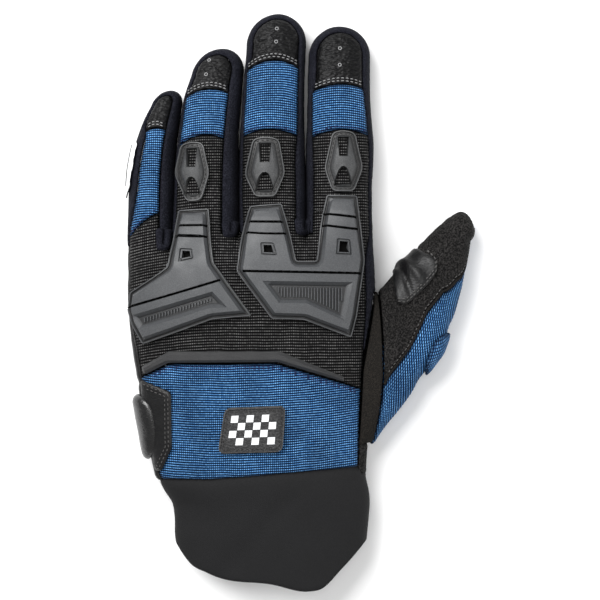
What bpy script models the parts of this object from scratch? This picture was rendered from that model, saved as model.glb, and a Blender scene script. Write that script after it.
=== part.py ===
"""A motocross glove for the left hand, lying palm down on a surface.

Units are metres. +X points to the thumb side, +Y to the fingertips and +Z out of the back of the
hand. The origin is under the middle of the glove, on the surface that it lies on.

The hand is described once, as a form: level sections across the hand and across each finger, and
sections across the thumb. Every piece of the glove is then cut as a flat pattern, given its
thickness and laid on that form, so neighbouring pieces share one surface and keep a seam gap.
"""

import math

import bmesh
import bpy
import numpy as np
from mathutils import Matrix, Vector

# Hand
HAND_LENGTH = 0.1016
HAND_HEIGHT = 0.0300
CUFF_LENGTH = 0.0475
FINGER_GAP = 0.00055
WEB_SLOPE = 0.0200
WEB_START = 0.0080

# Fingers: width and height at the root, and length from the root to the tip
INDEX_WIDTH = 0.0277
INDEX_LENGTH = 0.0874
INDEX_HEIGHT = 0.0255
MIDDLE_WIDTH = 0.0273
MIDDLE_LENGTH = 0.0926
MIDDLE_HEIGHT = 0.0280
RING_WIDTH = 0.0277
RING_LENGTH = 0.0802
RING_HEIGHT = 0.0272
LITTLE_WIDTH = 0.0187
LITTLE_LENGTH = 0.0660
LITTLE_HEIGHT = 0.0225
RING_DROP = 0.0021
LITTLE_DROP = 0.0055

# Thumb
THUMB_SPAN = 0.0412
THUMB_RISE = 0.0676
THUMB_ROOT = 0.0647
THUMB_HEIGHT = 0.0210
THUMB_DOME = 0.0046
THUMB_FOOT = 0.566

# Walls, seams and the pieces laid on the glove
CLOTH = 0.0016
CUFF_WALL = 0.0024
SEAM = 0.0005
LAY = 0.0006
GUARD_HEIGHT = 0.0030
GUARD_CHAMFER = 0.0013
BAR_HEIGHT = 0.0022
BAR_CHAMFER = 0.0007
BADGE_HEIGHT = 0.0016
BADGE_CORNER = 0.0030
PATCH_HEIGHT = 0.0009
PAD_HEIGHT = 0.0024
PAD_CHAMFER = 0.0018
FOLD_HEIGHT = 0.0020

# The form's sections: how full their curve is, where their widest level lies, and how far the
# curve under the hand is pressed flat by the surface
FULLNESS = 2.4
WAIST = 0.42
PRESSED = 0.0016
ROLL = 0.012

# Grid on which the patterns are cut, so that laid pieces bend on the same lines
CELL_ACROSS = 0.0045
CELL_ALONG = 0.0075
CELL_PALM = 0.0150
CELL_ROLL = 0.0050
CELL_ANGLE = 22.5
CELL_SECTION = 0.7
SIDE_STATIONS = 8
CUFF_SIDES = 28
CUFF_RINGS = 5

# Hand sections. along is a share of HAND_LENGTH from the finger roots; left and right are shares
# of the knuckle width from the hand's middle; top is a share of HAND_HEIGHT.
HAND = {
    "along": (0.00, 0.06, 0.14, 0.28, 0.44, 0.61, 0.77, 0.90, 1.00),
    "left": (-0.500, -0.500, -0.496, -0.496, -0.482, -0.458, -0.434, -0.410, -0.388),
    "right": (0.500, 0.503, 0.507, 0.512, 0.502, 0.490, 0.482, 0.478, 0.474),
    "top": (0.95, 0.98, 1.03, 1.04, 1.00, 0.95, 0.90, 0.86, 0.83),
}
# Cuff sections. along is a share of CUFF_LENGTH from the wrist seam.
CUFF = {
    "along": (0.00, 0.15, 0.24, 0.35, 0.53, 0.75, 1.00),
    "left": (-0.388, -0.345, -0.318, -0.308, -0.306, -0.292, -0.272),
    "right": (0.474, 0.486, 0.488, 0.484, 0.478, 0.474, 0.470),
    "top": (0.83, 0.81, 0.80, 0.79, 0.78, 0.77, 0.76),
}
# The cuff's open end. across runs from the left edge to the right, end is a share of CUFF_LENGTH.
CUFF_END = {
    "across": (-1.00, -0.90, -0.70, 0.00, 0.38, 0.52, 0.75, 0.90, 1.00),
    "end": (0.60, 0.74, 0.84, 0.935, 0.995, 0.975, 0.80, 0.67, 0.58),
}

# Finger sections. along is a share of the finger's length, width and height are shares of its
# sizes. gap counts finger gaps to the finger on its thumb side; the index finger, which has none
# beside it, has lean, a share of its width, instead.
INDEX = {
    "along": (0.00, 0.20, 0.42, 0.64, 0.85),
    "lean": (0.000, 0.000, 0.015, -0.010, 0.000),
    "width": (1.00, 0.985, 1.01, 0.96, 0.94),
    "height": (1.00, 0.93, 0.87, 0.77, 0.68),
}
MIDDLE = {
    "along": (0.00, 0.20, 0.38, 0.51, 0.66, 0.86),
    "gap": (1.0, 2.0, 3.0, 2.3, 2.4, 2.0),
    "width": (1.00, 1.00, 0.97, 0.97, 0.94, 0.92),
    "height": (1.00, 0.90, 0.84, 0.78, 0.70, 0.62),
}
RING = {
    "along": (0.00, 0.20, 0.46, 0.62, 0.74, 0.86),
    "gap": (1.0, 1.4, 1.8, 1.4, 1.2, 1.0),
    "width": (1.00, 0.965, 0.925, 0.895, 0.87, 0.79),
    "height": (1.00, 0.90, 0.82, 0.74, 0.68, 0.60),
}
LITTLE = {
    "along": (0.00, 0.27, 0.51, 0.64, 0.72, 0.80, 0.90),
    "gap": (1.0, 1.0, 1.0, 1.1, 1.0, 1.0, 1.2),
    "width": (1.00, 1.005, 0.998, 0.94, 0.89, 0.82, 0.68),
    "height": (1.00, 0.92, 0.84, 0.78, 0.74, 0.70, 0.64),
}

# Where the pieces on a finger's back end, as shares of its half width, and the sidewall begins
INDEX_EDGE = {
    "along": (0.00, 0.30, 0.45, 0.66, 0.71, 1.00),
    "left": (0.85, 0.86, 0.90, 0.90, 0.78, 0.76),
    "right": (0.93, 0.90, 0.86, 0.85, 0.77, 0.76),
}
MIDDLE_EDGE = {
    "along": (0.00, 0.30, 0.45, 0.74, 0.79, 1.00),
    "left": (0.94, 0.96, 0.96, 0.96, 0.82, 0.80),
    "right": (0.76, 0.78, 0.84, 0.84, 0.80, 0.80),
}
RING_EDGE = {
    "along": (0.00, 0.50, 0.73, 0.79, 1.00),
    "left": (0.95, 0.96, 0.96, 0.88, 0.84),
    "right": (0.55, 0.58, 0.60, 0.58, 0.62),
}
LITTLE_EDGE = {
    "along": (0.00, 0.10, 0.25, 0.40, 0.70, 0.78, 1.00),
    "left": (0.95, 0.90, 0.68, 0.54, 0.54, 0.82, 0.84),
    "right": (0.54, 0.54, 0.52, 0.50, 0.47, 0.47, 0.52),
}

# Thumb sections, from its root in the hand to its tip. across is a share of THUMB_SPAN from the
# hand's edge, up a share of THUMB_RISE from the root's middle, reach half the section's length as a
# share of THUMB_ROOT, tilt its direction in degrees and top a share of THUMB_HEIGHT.
THUMB = {
    "across": (0.018, 0.168, 0.347, 0.526, 0.679, 0.791, 0.872, 0.931),
    "up": (0.000, 0.116, 0.248, 0.396, 0.539, 0.680, 0.804, 0.893),
    "reach": (0.500, 0.479, 0.429, 0.365, 0.317, 0.239, 0.162, 0.100),
    "tilt": (-92.0, -91.5, -87.0, -82.0, -78.0, -74.0, -70.0, -64.0),
    "top": (0.95, 1.00, 1.00, 0.98, 0.93, 0.88, 0.83, 0.76),
}
THUMB_LAST = len(THUMB["across"]) - 1
THUMB_END = THUMB_LAST + 0.93
THUMB_HEADING = 36.0

# Where the thumb's back meets its front: sections, and degrees round a section. 0 is its outer
# edge, 90 its top and 180 its inner edge.
THUMB_SEAM = {
    "section": (0.60, 1.00, 2.00, 3.00, 4.00, 5.00, 6.00, 7.93),
    "angle": (72.0, 76.0, 77.0, 86.0, 82.0, 59.0, 14.0, 8.0),
}
UNDER_SEAM = 262.0
# The gusset's edge on the thumb: where a share of the way down the thumb's root it ends
GUSSET_EDGE = {
    "down": (0.00, 0.20, 0.40, 0.60, 0.80, 0.92, 1.00),
    "section": (0.06, 0.28, 0.48, 0.62, 0.52, 0.30, 0.06),
}
# The gusset's edge on the hand, as the share of the half width at a share of the way down
GUSSET_SIDE = {"down": (0.00, 0.50, 1.00), "share": (1.00, 0.925, 0.925)}
# The leather patch and the gathered fold on the thumb: sections, and degrees round a section
THUMB_PATCH = {
    "section": (4.10, 3.85, 2.90, 2.00, 1.45, 1.25, 1.30, 1.50, 2.85, 3.00, 3.45, 3.95),
    "angle": (108.0, 101.0, 104.0, 108.0, 118.0, 140.0, 175.0, 205.0, 205.0, 175.0, 140.0, 118.0),
}
THUMB_FOLD = {
    "section": (2.62, 2.70, 3.05, 3.55, 3.90, 3.90, 2.70),
    "angle": (18.0, 38.0, 50.0, 42.0, 22.0, -24.0, -28.0),
}

# Seams across the fingers, as shares of their lengths: left edge, middle, right edge
BAND_TOP = {
    "index": (0.678, 0.707, 0.690),
    "middle": (0.735, 0.777, 0.745),
    "ring": (0.735, 0.775, 0.755),
    "little": (0.730, 0.750, 0.735),
}
BAND_FOOT = {
    "index": (0.455, 0.486, 0.465),
    "middle": (0.433, 0.460, 0.434),
    "ring": (0.480, 0.529, 0.512),
    "little": (0.060, 0.150, 0.205),
}

# Seams of the hand. Shares across are of the section's half width, shares along of HAND_LENGTH.
PALM_EDGE = 0.76
LEFT_EDGE = {
    "along": (0.05, 0.12, 0.24, 0.36, 0.48, 1.10),
    "back": (0.991, 0.985, 0.985, 0.985, 0.955, 0.955),
    "palm": (0.957, 0.870, 0.760, 0.760, 0.760, 0.760),
}
RIGHT_EDGE = {
    "along": (0.00, 0.12, 0.24, 1.10),
    "back": (0.981, 0.925, 0.925, 0.925),
    "palm": (0.936, 0.840, 0.760, 0.760),
}
WRIST_SEAM = {
    "across": (-0.955, -0.690, 0.200, 0.765, 0.925),
    "along": (0.592, 0.535, 0.533, 0.614, 0.640),
}
CUFF_SEAM = {"across": (-1.00, -0.50, 0.00, 0.50, 1.00), "along": (1.015, 1.010, 0.992, 0.975, 0.957)}

# Pieces laid on the hand: shares of the half width across, and of HAND_LENGTH along
INNER_GUARD = {
    "across": (0.028, 0.256, 0.367, 0.521, 0.630, 0.854, 0.885, 0.895, 0.829, 0.796, 0.418, 0.165,
               -0.105, -0.104, -0.034),
    "along": (-0.103, -0.112, 0.122, 0.122, -0.149, -0.147, 0.008, 0.120, 0.339, 0.428, 0.355, 0.351,
              0.165, 0.145, 0.023),
}
OUTER_GUARD = {
    "across": (-0.541, -0.321, -0.300, -0.282, 0.011, -0.300, -0.871, -0.943, -0.962, -0.939, -0.639,
               -0.580),
    "along": (-0.087, -0.091, 0.045, 0.128, 0.339, 0.353, 0.455, 0.372, 0.314, 0.244, 0.143, 0.037),
}
WRIST_BAR = {
    "across": (-0.908, -0.671, 0.230, 0.759, 0.761, 0.214, -0.686, -0.900),
    "along": (0.545, 0.483, 0.482, 0.587, 0.607, 0.525, 0.529, 0.579),
}
BADGE = {"across": (-0.249, 0.273, 0.228, -0.355), "along": (0.711, 0.702, 0.890, 0.897)}
WRIST_TAB = {
    "across": (-0.945, -0.695, -0.782, -0.930, -0.950, -0.860, -0.815, -0.930),
    "along": (0.600, 0.649, 0.876, 0.965, 0.945, 0.885, 0.720, 0.635),
}
# The pillow on the heel of the hand, on the wall: under is -1 below the hand's edge and 1 above
HEEL_PAD = {
    "along": (0.660, 0.700, 0.800, 0.885, 0.935, 0.925, 0.880, 0.720, 0.670),
    "share": (0.960, 0.870, 0.865, 0.905, 0.985, 0.960, 0.890, 0.870, 0.930),
    "side": (1, 1, 1, 1, 1, -1, -1, -1, -1),
}
# The pale strip on the outside of the little finger
SIDE_FLASH = {
    "along": (0.300, 0.370, 0.500, 0.640, 0.660, 0.640, 0.500, 0.360),
    "share": (0.970, 0.800, 0.730, 0.730, 0.820, 0.985, 0.940, 0.985),
    "side": (1, 1, 1, 1, 1, -1, -1, -1),
}
# Finger guards: shares of the finger's width from its root's middle, and of its length
INDEX_GUARD = {
    "across": (-0.114, 0.038, 0.209, 0.311, 0.189, -0.114, -0.220),
    "along": (0.471, 0.482, 0.470, 0.303, 0.188, 0.188, 0.298),
}
MIDDLE_GUARD = {
    "across": (-0.268, -0.095, 0.097, 0.180, 0.046, -0.237, -0.377),
    "along": (0.415, 0.424, 0.413, 0.259, 0.151, 0.151, 0.256),
}
RING_GUARD = {
    "across": (-0.317, -0.170, -0.017, 0.077, -0.039, -0.241, -0.402),
    "along": (0.477, 0.491, 0.483, 0.327, 0.182, 0.177, 0.327),
}

FINISHES = {
    "ribbed_black": ((0.020, 0.020, 0.022), 0.75),
    "ribbed_blue": ((0.030, 0.110, 0.290), 0.70),
    "leather": ((0.016, 0.016, 0.017), 0.45),
    "suede": ((0.018, 0.018, 0.019), 0.85),
    "fourchette_cloth": ((0.016, 0.017, 0.026), 0.80),
    "moulded_rubber": ((0.060, 0.064, 0.068), 0.50),
    "neoprene": ((0.022, 0.022, 0.023), 0.80),
    "badge_rubber": ((0.030, 0.030, 0.032), 0.55),
    "pale_rubber": ((0.800, 0.810, 0.820), 0.45),
}


def smooth(at, stops, values):
    """Value of a smooth curve through (stops, values), with level ends."""
    stops = np.asarray(stops, float)
    values = np.asarray(values, float)
    at = np.clip(np.asarray(at, float), stops[0], stops[-1])
    slope = np.gradient(values, stops)
    k = np.clip(np.searchsorted(stops, at, side="right") - 1, 0, len(stops) - 2)
    span = stops[k + 1] - stops[k]
    t = (at - stops[k]) / span
    start = (1 + 2 * t) * (1 - t) ** 2 * values[k] + t * (1 - t) ** 2 * span * slope[k]
    end = t**2 * (3 - 2 * t) * values[k + 1] - t**2 * (1 - t) * span * slope[k + 1]
    return start + end


def ease(t):
    """0 to 1, level at both ends."""
    t = np.clip(t, 0.0, 1.0)
    return t * t * (3 - 2 * t)


def rise(share):
    """How high a section stands at a share of its half width: 1 in the middle, 0 at its edge."""
    return np.clip(1 - np.abs(share) ** FULLNESS, 0, 1) ** (1 / FULLNESS)


# The plan: where the hand, the finger roots and the thumb lie
KNUCKLE_WIDTH = INDEX_WIDTH + MIDDLE_WIDTH + RING_WIDTH + LITTLE_WIDTH + 3 * FINGER_GAP
ROOT_Y = (HAND_LENGTH + CUFF_LENGTH - MIDDLE_LENGTH) / 2
SEAM_Y = ROOT_Y - HAND_LENGTH
HAND_MIDDLE = -THUMB_SPAN / 2
HAND_RIGHT = HAND_MIDDLE + KNUCKLE_WIDTH / 2


class Finger:
    """One finger's sections, in metres, with its place worked out from its neighbour's."""

    def __init__(self, name, width, length, height, table, edge, root_y, beside=None):
        self.name = name
        self.width = width
        self.length = length
        self.root_y = root_y
        self.y = root_y + length * np.array(table["along"])
        self.half = width / 2 * np.array(table["width"])
        self.top = height * np.array(table["height"])
        if beside is None:
            middle = HAND_RIGHT - width / 2 + width * np.array(table["lean"])
        else:
            edges = [float(beside.middle(y) - beside.half_at(y)) for y in self.y]
            middle = np.array(edges) - FINGER_GAP * np.array(table["gap"]) - self.half
        self.x = middle
        self.tip_y = self.y[-1]
        self.tip_radius = self.half[-1]
        self.dome = root_y + length - self.tip_y
        self.edge = edge

    def middle(self, y):
        """Middle of the section at y; it keeps its slope over the tip."""
        slope = (self.x[-1] - self.x[-2]) / (self.y[-1] - self.y[-2])
        over = np.maximum(np.asarray(y, float) - self.tip_y, 0)
        return smooth(y, self.y, self.x) + slope * over

    def half_at(self, y):
        """Half width of the section at y, not counting the round of the tip."""
        return smooth(y, self.y, self.half)

    def share(self, x, y):
        """0 on the finger's middle line, 1 on its outline, round the tip too."""
        over = np.maximum(np.asarray(y, float) - self.tip_y, 0) / self.dome
        return np.hypot((x - self.middle(y)) / self.half_at(y), over)

    def outline(self, station, share):
        """Point at a share of the half width. station runs 0 to 1 up the right side, to 2 round
        the tip and to 3 down the left side."""
        station = np.asarray(station, float)
        up = self.climb(station)
        y_side = self.root_y + up * (self.tip_y - self.root_y)
        turn = math.pi * np.clip(station - 1, 0, 1)
        y = y_side + share * self.dome * np.sin(turn)
        x = self.middle(y) + share * self.half_at(y_side) * np.cos(turn)
        return x, y

    def climb(self, station):
        """Share of the way from the root to the tip's round at a station."""
        station = np.asarray(station, float)
        return np.clip(np.where(station < 1.5, station, 3 - station), 0, 1)

    def edge_share(self, station):
        """Where the pieces on the back end, as a share of the half width, along the outline."""
        along = self.climb(station) * (self.tip_y - self.root_y) / self.length
        left = np.interp(along, self.edge["along"], self.edge["left"])
        right = np.interp(along, self.edge["along"], self.edge["right"])
        blend = ease(np.asarray(station, float) - 1)
        return right * (1 - blend) + left * blend

    def starts(self):
        """Shares of the length at which the right and the left wall leave their neighbours."""
        place = FINGERS.index(self)
        right, left = self.root_y, self.root_y
        if place + 1 < len(FINGERS):
            right = max(right, FINGERS[place + 1].root_y)
        if place:
            left = max(left, FINGERS[place - 1].root_y)
        return (right - self.root_y) / self.length, (left - self.root_y) / self.length

    def stops(self, side, start, end):
        """Stations along a side between two shares of the length: wherever the edge bends, and
        every eighth of the way."""
        most = (self.tip_y - self.root_y) / self.length
        alongs = [a for a in self.edge["along"] if start < a < min(end, most)]
        for eighth in np.arange(1, SIDE_STATIONS) / SIDE_STATIONS * most:
            if start + 0.01 < eighth < end - 0.01 and all(abs(eighth - a) > 0.02 for a in alongs):
                alongs.append(float(eighth))
        return [self.station(a, side) for a in sorted(alongs, reverse=start > end)]

    def station(self, along, side):
        """Station on the right (1) or left (-1) side at a share of the finger's length."""
        up = along * self.length / (self.tip_y - self.root_y)
        return up if side > 0 else 3 - up


INDEX_FINGER = Finger("index", INDEX_WIDTH, INDEX_LENGTH, INDEX_HEIGHT, INDEX, INDEX_EDGE, ROOT_Y)
MIDDLE_FINGER = Finger(
    "middle", MIDDLE_WIDTH, MIDDLE_LENGTH, MIDDLE_HEIGHT, MIDDLE, MIDDLE_EDGE, ROOT_Y, INDEX_FINGER
)
RING_FINGER = Finger(
    "ring",
    RING_WIDTH,
    RING_LENGTH,
    RING_HEIGHT,
    RING,
    RING_EDGE,
    ROOT_Y - RING_DROP,
    MIDDLE_FINGER,
)
LITTLE_FINGER = Finger(
    "little",
    LITTLE_WIDTH,
    LITTLE_LENGTH,
    LITTLE_HEIGHT,
    LITTLE,
    LITTLE_EDGE,
    ROOT_Y - LITTLE_DROP,
    RING_FINGER,
)
FINGERS = (LITTLE_FINGER, RING_FINGER, MIDDLE_FINGER, INDEX_FINGER)


def root_line(x):
    """y of the line of finger roots at x."""
    return np.interp(x, [f.x[0] for f in FINGERS], [f.root_y for f in FINGERS])


def hand_section(y):
    """Middle, half width and top of the hand or cuff section at y."""
    below = np.asarray(ROOT_Y - y, float)
    along = np.where(below < HAND_LENGTH, below / HAND_LENGTH, 1 + (below - HAND_LENGTH) / CUFF_LENGTH)
    stops = HAND["along"] + tuple(1 + a for a in CUFF["along"][1:])
    left = smooth(along, stops, HAND["left"] + CUFF["left"][1:]) * KNUCKLE_WIDTH
    right = smooth(along, stops, HAND["right"] + CUFF["right"][1:]) * KNUCKLE_WIDTH
    top = smooth(along, stops, HAND["top"] + CUFF["top"][1:]) * HAND_HEIGHT
    return HAND_MIDDLE + (left + right) / 2, (right - left) / 2, top


def levels(top, share):
    """Upper and lower surface of a section of this height, at a share of its half width."""
    waist = WAIST * top
    upper = waist + (top - waist) * rise(share)
    lower = np.maximum(waist - (waist + PRESSED) * rise(share), 0)
    return upper, lower


def finger_levels(x, y, inside):
    """Upper and lower surface of the finger at (x, y), or of its root below the line of roots,
    where inside is how far the point lies in from the hand's outline."""
    upper = np.zeros(np.shape(x))
    lower = np.zeros(np.shape(x))
    nearest = np.full(np.shape(x), np.inf)
    for finger in FINGERS:
        share = finger.share(x, y)
        share = np.where(y < root_line(x), np.maximum(share, 1 - inside / finger.half[0]), share)
        here = share < nearest
        up, low = levels(smooth(y, finger.y, finger.top), np.minimum(share, 1))
        upper = np.where(here, up, upper)
        lower = np.where(here, low, lower)
        nearest = np.minimum(nearest, share)
    return upper, lower


def form(x, y):
    """Upper and lower surface of the glove without its thumb at (x, y)."""
    x = np.asarray(x, float)
    y = np.asarray(y, float)
    middle, half, top = hand_section(y)
    inside = half - np.abs(x - middle)
    hand_up, hand_low = levels(top, np.clip(1 - inside / half, 0, 1))
    finger_up, finger_low = finger_levels(x, y, inside)
    blend = ease((root_line(x) + WEB_START - y) / WEB_SLOPE)
    upper = finger_up * (1 - blend) + hand_up * blend
    lower = finger_low * (1 - blend) + hand_low * blend
    _, shelf = levels(THUMB_HEIGHT * THUMB["top"][0], np.minimum(np.abs(thumb_share(y)), 1))
    return upper, np.where(x > middle, np.minimum(lower, shelf), lower)


def thumb_share(y):
    """Share of the thumb's root at y: -1 at its upper end and 1 at its lower end."""
    return (ROOT_Y - THUMB_FOOT * HAND_LENGTH - y) / (THUMB["reach"][0] * THUMB_ROOT)


def back_chart(x, y):
    """The back of the hand, charted by plan position."""
    return np.stack([x, y, form(x, y)[0]], -1)


def front_chart(x, y):
    """The palm side, charted by plan position seen from below, so x is turned round."""
    return np.stack([-x, y, form(-x, y)[1]], -1)


def share_of_roll(roll):
    """Share of the half width that a roll over the edge stands for."""
    return np.abs(np.cos(roll / ROLL)) ** (2 / FULLNESS)


def roll_of_share(share):
    """Roll over the edge at a share of the half width."""
    return float(ROLL * np.arccos(np.clip(share, 0, 1) ** (FULLNESS / 2)))


def finger_wall_chart(finger):
    """A finger's wall, charted by station round its outline and by roll over its edge."""

    def chart(station, roll):
        x, y = finger.outline(station, share_of_roll(roll))
        upper, lower = form(x, y)
        return np.stack([x, y, np.where(roll >= 0, upper, lower)], -1)

    return chart


def hand_wall_chart(side):
    """The hand's left (-1) or right (1) wall, charted by y, turned round on the left, and by roll
    over its edge."""

    def chart(along, roll):
        y = side * along
        middle, half, _ = hand_section(y)
        x = middle + side * half * share_of_roll(roll)
        upper, lower = form(x, y)
        return np.stack([x, y, np.where(roll >= 0, upper, lower)], -1)

    return chart


def thumb_chart(section, angle):
    """The thumb, charted by section and by degrees round it; past the last one its tip rounds."""
    section = np.asarray(section, float)
    stops = np.arange(THUMB_LAST + 1)
    body = np.clip(section, 0, THUMB_LAST)
    over = np.clip(section - THUMB_LAST, 0, 1) * math.pi / 2
    tilt = np.radians(smooth(body, stops, THUMB["tilt"]))
    reach = smooth(body, stops, THUMB["reach"]) * THUMB_ROOT * np.cos(over)
    top = smooth(body, stops, THUMB["top"]) * THUMB_HEIGHT
    x = HAND_RIGHT + smooth(body, stops, THUMB["across"]) * THUMB_SPAN
    y = ROOT_Y - HAND_LENGTH * THUMB_FOOT + smooth(body, stops, THUMB["up"]) * THUMB_RISE
    x = x + math.cos(math.radians(THUMB_HEADING)) * THUMB_DOME * np.sin(over)
    y = y + math.sin(math.radians(THUMB_HEADING)) * THUMB_DOME * np.sin(over)
    turn = np.radians(angle)
    across = np.sign(np.cos(turn)) * np.abs(np.cos(turn)) ** (2 / FULLNESS)
    lift = np.abs(np.sin(turn)) ** (2 / FULLNESS) * np.cos(over)
    waist = WAIST * top
    upper = waist + (top - waist) * lift
    lower = np.maximum(waist - (waist + PRESSED) * lift, 0)
    z = np.where(np.sin(turn) >= 0, upper, lower)
    return np.stack([x + np.cos(tilt) * across * reach, y + np.sin(tilt) * across * reach, z], -1)


def thumb_seam(section):
    """Degrees round the thumb at which its back meets its front."""
    return float(np.interp(section, THUMB_SEAM["section"], THUMB_SEAM["angle"]))


def root_angle(down):
    """Degrees round the thumb at a share of the way down its root."""
    share = np.clip(2 * np.asarray(down, float) - 1, -0.9999, 0.9999)
    return np.degrees(np.arccos(np.sign(share) * np.abs(share) ** (FULLNESS / 2)))


def gusset_section(down):
    """Section of the thumb where the gusset ends, at a share of the way down the root."""
    return np.interp(down, GUSSET_EDGE["down"], GUSSET_EDGE["section"])


def gusset_chart(over, up):
    """The web between hand and thumb, charted by the share of the way over it and by the share of
    the way down its length, turned round."""
    down = -np.asarray(up, float)
    y_end = ROOT_Y - THUMB_FOOT * HAND_LENGTH
    y = y_end + THUMB["reach"][0] * THUMB_ROOT * (1 - 2 * down)
    roll = ROLL * np.arccos(
        np.interp(down, GUSSET_SIDE["down"], GUSSET_SIDE["share"]) ** (FULLNESS / 2)
    )
    hand = hand_wall_chart(1)(y, roll)
    thumb = thumb_chart(gusset_section(down), root_angle(down))
    over = np.asarray(over, float)[..., None]
    return hand * (1 - over) + thumb * over


def cuff_chart(angle, down):
    """The cuff, charted by degrees round it, 0 at its right and 90 on top, and by the share of the
    way from the wrist seam to its open end."""
    turn = np.radians(angle)
    across = np.sign(np.cos(turn)) * np.abs(np.cos(turn)) ** (2 / FULLNESS)
    start = ROOT_Y - HAND_LENGTH * np.interp(across, CUFF_SEAM["across"], CUFF_SEAM["along"])
    end = SEAM_Y - CUFF_LENGTH * np.interp(across, CUFF_END["across"], CUFF_END["end"])
    y = (start - SEAM / 2) * (1 - down) + end * down
    middle, half, top = hand_section(y)
    upper, lower = levels(top, np.abs(across))
    return np.stack([middle + across * half, y, np.where(np.sin(turn) >= 0, upper, lower)], -1)


def outward(chart, u, v, u_step, v_step):
    """Unit normal of a chart, from its slopes."""
    along_u = chart(u + u_step, v) - chart(u - u_step, v)
    along_v = chart(u, v + v_step) - chart(u, v - v_step)
    normal = np.cross(along_u, along_v)
    return normal / np.linalg.norm(normal, axis=-1, keepdims=True)


def finish(name):
    """The shared material of a finish."""
    made = bpy.data.materials.get(name)
    if made:
        return made
    colour, roughness = FINISHES[name]
    made = bpy.data.materials.new(name)
    made.use_nodes = True
    shader = made.node_tree.nodes["Principled BSDF"]
    shader.inputs["Base Color"].default_value = (*colour, 1)
    shader.inputs["Roughness"].default_value = roughness
    made.diffuse_color = (*colour, 1)
    return made


def add_piece(name, mesh, material):
    """Makes the bmesh the named object of one piece."""
    bmesh.ops.recalc_face_normals(mesh, faces=mesh.faces[:])
    if mesh.calc_volume(signed=True) < 0:
        bmesh.ops.reverse_faces(mesh, faces=mesh.faces[:])
    data = bpy.data.meshes.new(name)
    mesh.to_mesh(data)
    mesh.free()
    piece = bpy.data.objects.new(name, data)
    piece.data.materials.append(finish(material))
    bpy.context.scene.collection.objects.link(piece)
    data.shade_smooth()
    data.set_sharp_from_angle(angle=math.radians(40))
    return piece


def cut_pattern(outline, cells, chamfer):
    """The flat pattern piece inside the outline, with its rim sunk by the chamfer, scored along
    the lines of the grid."""
    pattern = bmesh.new()
    face = pattern.faces.new([pattern.verts.new((u, v, 0)) for u, v in outline])
    if chamfer:
        bmesh.ops.inset_region(pattern, faces=[face], thickness=chamfer, use_even_offset=True)
        for vert in set(pattern.verts) - set(face.verts):
            vert.co.z = -chamfer
    for axis, cell in enumerate(cells):
        values = [point[axis] for point in outline]
        for k in range(math.floor(min(values) / cell) + 1, math.ceil(max(values) / cell)):
            place = [0.0, 0.0, 0.0]
            across = [0.0, 0.0, 0.0]
            place[axis] = k * cell
            across[axis] = 1.0
            everything = pattern.verts[:] + pattern.edges[:] + pattern.faces[:]
            bmesh.ops.bisect_plane(
                pattern, geom=everything, dist=cell * 0.03, plane_co=place, plane_no=across
            )
    return pattern


def panel(name, chart, outline, material, cells, height=-CLOTH, lift=0.0, chamfer=0.0):
    """Cuts a flat pattern, thickens it and lays it on the chart. A wall's height is negative,
    inwards from the form; a laid piece's is positive, outwards from its lift."""
    pattern = cut_pattern(outline, cells, chamfer)
    under = pattern.verts[:]
    grown = bmesh.ops.extrude_face_region(pattern, geom=pattern.faces[:], use_keep_orig=True)
    for vert in grown["geom"]:
        if isinstance(vert, bmesh.types.BMVert):
            vert.co.z += height
    for vert in under:
        vert.co.z = 0
    u, v, out = np.array([vert.co for vert in pattern.verts]).T
    place = chart(u, v)
    normal = outward(chart, u, v, cells[0] * 1e-3, cells[1] * 1e-3)
    for vert, co in zip(pattern.verts, place + (lift + out)[:, None] * normal):
        vert.co = co
    return add_piece(name, pattern, material)


def sleeve(name, chart, sides, rings, wall, material):
    """A closed sleeve on a chart that runs once round it, open at both ends."""
    angles = np.repeat(np.arange(sides) * 360 / sides, rings + 1)
    downs = np.tile(np.linspace(0, 1, rings + 1), sides)
    place = chart(angles, downs)
    normal = outward(chart, angles, downs, 0.1, 0.001)
    mesh = bmesh.new()
    outer = [mesh.verts.new(co) for co in place]
    inner = [mesh.verts.new(co) for co in place - wall * normal]
    for side in range(sides):
        for ring in range(rings):
            here = side * (rings + 1) + ring
            beside = (side + 1) % sides * (rings + 1) + ring
            for skin in (outer, inner):
                mesh.faces.new([skin[here], skin[beside], skin[beside + 1], skin[here + 1]])
        for ring in (0, rings):
            here = side * (rings + 1) + ring
            beside = (side + 1) % sides * (rings + 1) + ring
            mesh.faces.new([outer[here], outer[beside], inner[beside], inner[here]])
    return add_piece(name, mesh, material)


SIDE_ALONGS = (0.12, 0.24, 0.36, 0.48, 0.60, 0.72, 0.84, 0.94)
PLAN = (CELL_ACROSS, CELL_ALONG)
WALL = (CELL_ALONG, CELL_ROLL)
THUMB_GRID = (CELL_SECTION, CELL_ANGLE)


def hand_point(across, along):
    """Plan point at a share across the hand's section and a share of the hand's length."""
    y = ROOT_Y - along * HAND_LENGTH
    middle, half, _ = hand_section(y)
    return float(middle + across * half), float(y)


def hand_outline(table):
    """Plan points of a piece laid on the hand."""
    return [hand_point(a, s) for a, s in zip(table["across"], table["along"])]


def finger_outline(finger, table):
    """Plan points of a piece laid on a finger."""
    return [
        (finger.x[0] + a * finger.width, finger.root_y + s * finger.length)
        for a, s in zip(table["across"], table["along"])
    ]


def finger_edge(finger, station):
    """Plan point where the pieces on the finger's back end, half a seam in from the wall."""
    share = finger.edge_share(station) - SEAM / 2 / finger.tip_radius
    x, y = finger.outline(station, share)
    return float(x), float(y)


def edge_run(finger, side, start, end):
    """Plan points along a side's edge between two shares of the finger's length, ends left out."""
    stations = finger.stops(side, min(start, end), max(start, end))
    return [finger_edge(finger, station) for station in sorted(stations)]


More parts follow.
